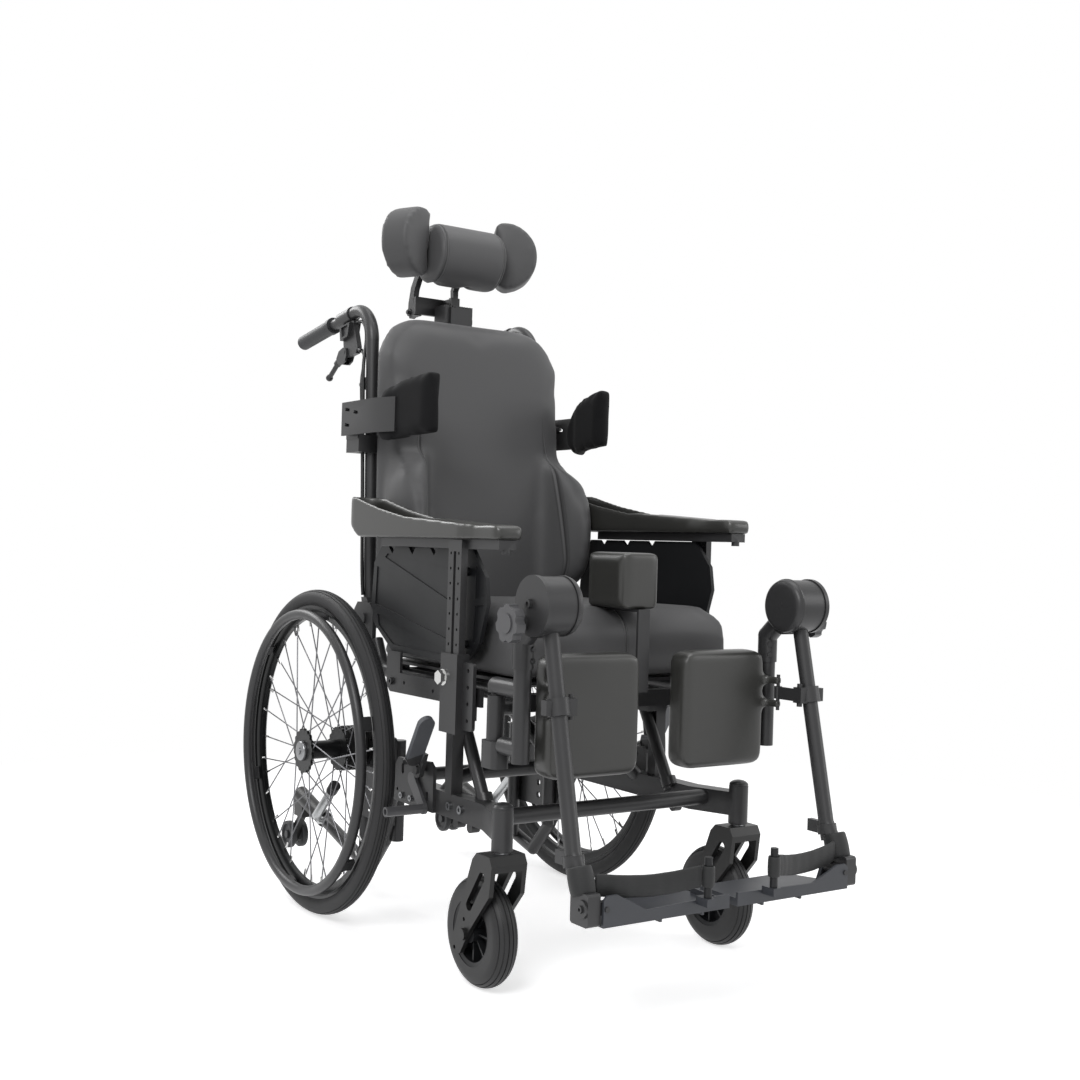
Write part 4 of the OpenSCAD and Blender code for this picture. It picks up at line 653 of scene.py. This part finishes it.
# %% Cutting a copy
def part_of(o, name, point, normal):
    """The part of o behind the plane, closed where it was cut."""
    mesh = bpy.data.meshes.new(name)
    bm = bmesh.new()
    bm.from_mesh(o.data)
    everything = bm.verts[:] + bm.edges[:] + bm.faces[:]
    bmesh.ops.bisect_plane(bm, geom=everything, plane_co=point, plane_no=normal,
                           clear_outer=True)
    bmesh.ops.holes_fill(bm, edges=[e for e in bm.edges if e.is_boundary])
    bmesh.ops.recalc_face_normals(bm, faces=bm.faces)
    bm.to_mesh(mesh)
    bm.free()
    piece = bpy.data.objects.new(name, mesh)
    bpy.context.scene.collection.objects.link(piece)
    return piece


def metal_piece(o, material, body, slot, *replaced):
    """Shades a rigid piece by angle and sends it along with its body."""
    o.data.materials.clear()
    o.data.materials.append(material)
    o.modifiers.new("shading", "NODES").node_group = shade_by_angle
    settle(o)
    if replaced:
        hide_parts(*replaced)
    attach(o, body)


# %% [markdown]
# The headrest is a foam roll between two D-shaped wings. The roll ends are cut
# free of the steel arms that carry the wings.

# %% Headrest
ROLL_END = 0.0702
roll_copy = joined_copy("headrest_roll", "roll_copy")
half_roll = part_of(roll_copy, "half_roll", (ROLL_END, 0, 0), (1, 0, 0))
roll = part_of(half_roll, "headrest_roll_cover", (-ROLL_END, 0, 0), (-1, 0, 0))
wing_arms = [part_of(roll_copy, f"wing_arm_{side}", (s * ROLL_END, 0, 0), (-s, 0, 0))
             for s, side in ((1, "left"), (-1, "right"))]
for o in (roll_copy, half_roll):
    bpy.data.objects.remove(o)

WING_TOE = math.radians(28)
WING_REACH, WING_PAD = 105, 0.0312
wings, wing_eyes, wing_way = {}, {}, {}
for s, side in ((1, "left"), (-1, "right")):
    whole = joined_copy(f"headrest_wing_{side}", f"wing_copy_{side}")
    inward = wing_way[side] = Vector((-s * math.cos(WING_TOE), math.sin(WING_TOE), 0))
    edge = at(s * WING_REACH, 0, 1312) + inward * WING_PAD
    wings[side] = part_of(whole, f"headrest_wing_cover_{side}", edge, inward)
    wing_eyes[side] = part_of(whole, f"wing_eyes_{side}", edge, -inward)
    bpy.data.objects.remove(whole)


def face_seam(cover_mesh, inward):
    """A wing's cloth, with its seam round the D-shaped face that turns to the roll."""
    edge_at = max(v.co.dot(inward) for v in cover_mesh.vertices) - 0.0035

    def seam(t, where, xyz):
        along = add(t, "ShaderNodeVectorMath", {"operation": "DOT_PRODUCT"}, i0=where, i1=inward)
        return add(t, "ShaderNodeMath", {"operation": "SUBTRACT"}, i0=along.outputs["Value"],
                   i1=edge_at).outputs[0]
    return sewn(upholstery, "wing cloth", seam, 2)


print("roll and wings cut from", len(wing_arms) + len(wing_eyes), "metal pieces")

# %% [markdown]
# All the sewn pieces are filled in one run of the cloth simulation, because it
# steps through the same frames for each. A row gives a pad, its pressure, how far
# it may swell, and where it is free: 1 in the open, and 0 where a board or the
# leaning shell keeps it flat.

# %% Fill the cushions
FINE, COARSE = 0.005, 0.008
BACK_LEAN = math.tan(math.radians(2.5))
seat = wrap(joined_copy("seat_cushion", "seat_cushion_cover"), COARSE, 0.004)
back = soften(wrap(joined_copy("back_cushion", "back_cushion_cover"), COARSE), 7)
trunk_pads = wrap(joined_copy("lateral_pads", "trunk_pad_covers"), FINE, 0.003)
soften(wrap(roll, FINE), 2, (1.10, 1, 1))
for side in wings:
    soften(wrap(wings[side], FINE, soft_edge=0.003), 1, (1.05, 1.05, 1.05))
seat_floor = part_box("seat_cushion")[0].z
back_low, back_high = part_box("back_cushion")
free = lambda p: 1.0
on_board = lambda p: min(1.0, max(0.0, (p.z - seat_floor - 0.008) / 0.03))
shell_at = lambda z: back_high.y - (back_high.z - z) * BACK_LEAN
on_shell = lambda p: min(1.0, max(0.0, (shell_at(p.z) - p.y - 0.010) / 0.03))
fill([
    (seat, 4.0, 0.012, on_board),
    (back, 4.0, 0.012, on_shell),
    (trunk_pads, 3.0, 0.005, free),
    (roll, 3.0, 0.005, free),
    (wings["left"], 3.0, 0.005, free),
    (wings["right"], 3.0, 0.005, free),
])
cover(seat, "seat_cushion", seat_cloth, "seat")
cover(back, "back_cushion", back_cloth, "back")
cover(trunk_pads, "lateral_pads", neoprene, "back")
cover(roll, "headrest_roll", roll_cloth, "head_roll")
for side in ("left", "right"):
    cloth = face_seam(wings[side].data, wing_way[side])
    cover(wings[side], f"headrest_wing_{side}", cloth, f"headrest_wing_{side}")
    metal_piece(wing_eyes[side], black_powder, f"headrest_wing_{side}", "frame_paint")
for o in wing_arms:
    metal_piece(o, black_powder, "head_roll", "frame_paint")

# %% [markdown]
# The arm pads, calf pads and pommel are not sewn. They are urethane foam that
# rose in a mould and grew its own skin, so they have no seams, and every edge
# the mould gave them is soft.


# %% Moulded pads
def back_up(o, low, high):
    """Thickens an arm pad's heel, where its underside rises to meet the dish."""
    bm = bmesh.new()
    bm.from_mesh(o.data)
    middle = (low.x + high.x) / 2
    slab = ((0.046, 0.003, 0.030), (0.010, 0.0245, 0.020),
            (0.010, 0.036, 0.020), (0.046, 0.016, 0.030))
    corners = [bm.verts.new((middle + side * half, high.y - from_end, low.z + up))
               for side in (-1, 1) for from_end, up, half in slab]
    bmesh.ops.convex_hull(bm, input=corners)
    bm.to_mesh(o.data)
    bm.free()


def mould(node, name, voxel, rounds, body, edge=0.006):
    """A moulded pad: its node wrapped in an even skin with soft edges."""
    o = joined_copy(node, name)
    if node.startswith("arm_pad"):
        back_up(o, *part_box(node))
    wrap(o, voxel, soft_edge=edge)
    soften(o, rounds)
    finer = o.modifiers.new("finer", "SUBSURF")
    finer.levels = finer.render_levels = 1
    settle(o)
    for p in o.data.polygons:
        p.use_smooth = True
    cover(o, node, foam_skin, body)


for side in ("right", "left"):
    mould(f"arm_pad_{side}", f"arm_pad_skin_{side}", 0.003, 12, f"armrest_{side}", 0.003)
    mould(f"calf_pad_{side}", f"calf_pad_skin_{side}", 0.004, 8, f"calf_pad_{side}")
mould("pommel_pad", "pommel_skin", 0.004, 6, "pommel")

# %% [markdown]
# The heel straps are padded webbing. Each starts as a cuff round the leg tube,
# runs behind the heel in a slight bow, and ends in a loop over the footplate's pin.


# %% Heel straps
def curve_through(points, steps):
    """Points of a smooth curve through the given ones (Catmull-Rom)."""
    out = []
    last = len(points) - 1
    for i in range(last):
        a, b, c, d = (Vector(points[min(max(i + k, 0), last)]) for k in (-1, 0, 1, 2))
        for j in range(steps):
            t = j / steps
            out.append(b + 0.5 * t * ((c - a) + t * ((2 * a - 5 * b + 4 * c - d)
                                                     + t * (3 * b - a - 3 * c + d))))
    return out + [Vector(points[-1])]


def loft(bm, rings, closed=False):
    """Joins rings of equal length by quads, with a cap on each end if not closed."""
    rows = [[bm.verts.new(p) for p in ring] for ring in rings]
    pairs = list(zip(rows, rows[1:])) + ([(rows[-1], rows[0])] if closed else [])
    for one, two in pairs:
        for k in range(len(one)):
            m = (k + 1) % len(one)
            bm.faces.new((one[k], one[m], two[m], two[k]))
    if not closed:
        bm.faces.new(rows[0][::-1])
        bm.faces.new(rows[-1])


def band_section(thick, tall, corner=4):
    """A flat padded section: (out, up) pairs, its middle fatter than its hems."""
    half_t, half_h = thick / 2, tall / 2
    out = []
    for side, sign in ((1, 1), (-1, -1)):
        for k in range(-corner, corner + 1):
            up = sign * k / corner * half_h
            out.append((side * half_t * (0.55 + 0.45 * math.cos(k / corner * math.pi / 2)), up))
    return out


def hoop(centre, radius, thick, tall, up, count=36):
    """Rings of a band that goes round a tube."""
    side = up.cross(Vector((0, 1, 0))).normalized()
    front = side.cross(up).normalized()
    rings = []
    for i in range(count):
        a = 2 * math.pi * i / count
        outward = side * math.cos(a) + front * math.sin(a)
        rings.append([centre + outward * (radius + o) + up * u
                      for o, u in band_section(thick, tall)])
    return rings


STRAP_LINE = ((240, -822, 226), (205, -831, 222), (160, -838, 219), (120, -846, 221),
              (92, -856, 226), (76, -862, 229))
LEG_LEAN = math.radians(20)
for s, side in ((1, "left"), (-1, "right")):
    bm = bmesh.new()
    line = curve_through([at(s * x, y, z) for x, y, z in STRAP_LINE], 8)
    rings = []
    for i, p in enumerate(line):
        ahead_of = line[min(i + 1, len(line) - 1)] - line[max(i - 1, 0)]
        outward = Vector((ahead_of.y, -ahead_of.x, 0)).normalized()
        crease = 0.0006 * math.sin(i * 1.1) * math.sin(i * 0.37)
        rings.append([p + outward * (o + crease) + Vector((0, 0, u))
                      for o, u in band_section(0.008, 0.033)])
    loft(bm, rings)
    loft(bm, hoop(at(s * 66, -866, 229), 0.0085, 0.003, 0.031, Vector((0, 0, 1))), True)
    tube_way = Vector((0, math.sin(LEG_LEAN), math.cos(LEG_LEAN)))
    loft(bm, hoop(at(s * 257, -812, 231), 0.0165, 0.006, 0.040, tube_way), True)
    bmesh.ops.recalc_face_normals(bm, faces=bm.faces)
    mesh = bpy.data.meshes.new(f"heel_strap_{side}")
    bm.to_mesh(mesh)
    bm.free()
    strap = bpy.data.objects.new(f"heel_strap_cover_{side}", mesh)
    bpy.context.scene.collection.objects.link(strap)
    for p in mesh.polygons:
        p.use_smooth = True
    mesh.materials.append(webbing)
    finer = strap.modifiers.new("finer", "SUBSURF")
    finer.levels = finer.render_levels = 1
    settle(strap)
    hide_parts(f"heel_strap_{side}")
    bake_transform(strap)
    print(strap.name, len(strap.data.polygons), "faces")

# %% [markdown]
# Two cables go down each back tube: a thick one for the tilt release and a thin
# one for the drum brake. Clips hold both against the tube. The cables are
# smooth tubes along the same lines as the frame's, and the clips are its own.


# %% Cables
RELEASE_LINE = ((190, 104, 1145), (190, 79, 1144), (191, 62, 1130), (193, 53, 1108),
                (198, 47, 1082), (207, 34, 1050), (208, 30, 1000), (208, 25, 900),
                (208, 19, 800), (208, 14, 700), (208, 10, 640), (206, 8, 600))
BRAKE_LINE = ((190, 77.4, 1085), (192, 66, 1076), (197, 54, 1056), (206.5, 43, 1020),
              (205, 41, 960), (204, 34, 860), (204, 28, 760), (204, 22, 680), (203, 20, 620))


def round_tube(bm, points, radius, sides=14):
    """A round tube along the points, closed at both ends."""
    rings = []
    for i, p in enumerate(points):
        way = (points[min(i + 1, len(points) - 1)] - points[max(i - 1, 0)]).normalized()
        a = Vector((1, 0, 0)).cross(way).normalized()
        b = way.cross(a)
        rings.append([p + radius * (a * math.cos(2 * math.pi * k / sides)
                                    + b * math.sin(2 * math.pi * k / sides))
                      for k in range(sides)])
    loft(bm, rings)


def short_islands(bm, longest):
    """The faces of the separate solids that are no taller than longest."""
    left, found = set(bm.faces), []
    while left:
        island, edge = set(), [next(iter(left))]
        while edge:
            f = edge.pop()
            if f in island:
                continue
            island.add(f)
            edge += [g for e in f.edges for g in e.link_faces if g not in island]
        left -= island
        heights = [v.co.z for f in island for v in f.verts]
        if max(heights) - min(heights) <= longest:
            found += island
    return found


cables = joined_copy("brake_cables", "cables_and_clips")
bm = bmesh.new()
bm.from_mesh(cables.data)
clips = set(short_islands(bm, 0.03))
bmesh.ops.delete(bm, geom=[f for f in bm.faces if f not in clips], context="FACES")
for s in (1, -1):
    for route, radius in ((RELEASE_LINE, 0.0035), (BRAKE_LINE, 0.0025)):
        round_tube(bm, curve_through([at(s * x, y, z) for x, y, z in route], 6), radius)
bmesh.ops.recalc_face_normals(bm, faces=bm.faces)
bm.to_mesh(cables.data)
bm.free()
metal_piece(cables, cable_sheath, "back", slots["brake_cables"], "brake_cables")
print(cables.name, len(cables.data.polygons), "faces, of which", len(clips), "in clips")

# %% [markdown]
# Thirty six nipples pull each wheel's spokes into the rim. They repeat by a rule,
# so a Geometry Nodes tree sets them: the spokes come in pairs from the two hub
# flanges, and every other pair leans the opposite way, which is what crosses
# them. The tree works out the angle of each spoke's end and stands a nipple there.


# %% Spoke nipples
def nipple_tree():
    """Nipples round a rim, each at the end of its spoke."""
    tree = bpy.data.node_groups.new("spoke nipples", "GeometryNodeTree")
    face = tree.interface
    for label, kind, value in (("Spokes", "Int", 36), ("Ring radius", "Float", 0.2495),
                               ("Lean of a spoke", "Float", math.radians(62 * 0.62)),
                               ("Half spread", "Float", 0.003), ("Side", "Float", 1.0),
                               ("Nipple length", "Float", 0.013)):
        face.new_socket(label, in_out="INPUT", socket_type="NodeSocket" + kind).default_value = value
    face.new_socket("Centre", in_out="INPUT", socket_type="NodeSocketVector")
    face.new_socket("Finish", in_out="INPUT", socket_type="NodeSocketMaterial")
    face.new_socket("Geometry", in_out="OUTPUT", socket_type="NodeSocketGeometry")
    given = add(tree, "NodeGroupInput").outputs

    def maths(operation, *values):
        return add(tree, "ShaderNodeMath", {"operation": operation},
                   **{f"i{k}": v for k, v in enumerate(values)}).outputs[0]

    index = add(tree, "GeometryNodeInputIndex").outputs[0]
    step = maths("DIVIDE", 2 * math.pi, given["Spokes"])
    pair = maths("FLOOR", maths("DIVIDE", index, 2.0))
    way = maths("MULTIPLY_ADD", maths("MODULO", pair, 2.0), -2.0, 1.0)
    turn = maths("MULTIPLY_ADD", way, given["Lean of a spoke"], maths("MULTIPLY", index, step))
    spread = maths("MULTIPLY_ADD", maths("MODULO", index, 2.0), -2.0, 1.0)
    outward = maths("MULTIPLY", maths("MULTIPLY", spread, given["Half spread"]), given["Side"])
    radial = add(tree, "ShaderNodeCombineXYZ", Y=maths("SINE", turn),
                 Z=maths("MULTIPLY", maths("COSINE", turn), -1.0)).outputs[0]
    arm = add(tree, "ShaderNodeVectorMath", {"operation": "SCALE"}, i0=radial,
              Scale=given["Ring radius"]).outputs[0]
    lift = add(tree, "ShaderNodeCombineXYZ", X=outward).outputs[0]
    spot = add(tree, "ShaderNodeVectorMath", {"operation": "ADD"}, i0=arm, i1=lift).outputs[0]
    spot = add(tree, "ShaderNodeVectorMath", {"operation": "ADD"}, i0=spot,
               i1=given["Centre"]).outputs[0]
    points = add(tree, "GeometryNodePoints", Count=given["Spokes"], Position=spot)
    nipple = add(tree, "GeometryNodeMeshCone", Vertices=10, Radius_Top=0.0017,
                 Radius_Bottom=0.0026, Depth=given["Nipple length"])
    aim = add(tree, "FunctionNodeAlignRotationToVector", {"axis": "Z"},
              Vector=add(tree, "ShaderNodeVectorMath", {"operation": "SCALE"}, i0=radial,
                         Scale=-1.0).outputs[0])
    stood = add(tree, "GeometryNodeInstanceOnPoints", Points=points.outputs[0],
                Instance=nipple.outputs[0], Rotation=aim.outputs[0])
    real = add(tree, "GeometryNodeRealizeInstances", Geometry=stood.outputs[0])
    coated = add(tree, "GeometryNodeSetMaterial", Geometry=real.outputs[0],
                 Material=given["Finish"])
    add(tree, "NodeGroupOutput", i0=coated.outputs[0])
    return tree


nipples = nipple_tree()
entry = {item.name: item.identifier for item in nipples.interface.items_tree
         if item.in_out == "INPUT"}
for s, side in ((1, "left"), (-1, "right")):
    o = bpy.data.objects.new(f"spoke_nipples_{side}", bpy.data.meshes.new("nipples"))
    bpy.context.scene.collection.objects.link(o)
    grow = o.modifiers.new("nipples", "NODES")
    grow.node_group = nipples
    grow[entry["Side"]] = float(s)
    grow[entry["Centre"]] = Vector((s * 0.300, AXLE_BACK, WHEEL_RADIUS))
    grow[entry["Finish"]] = bright_steel
    settle(o)
    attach(o, f"rear_wheel_{side}")
    print(o.name, len(o.data.polygons), "faces")
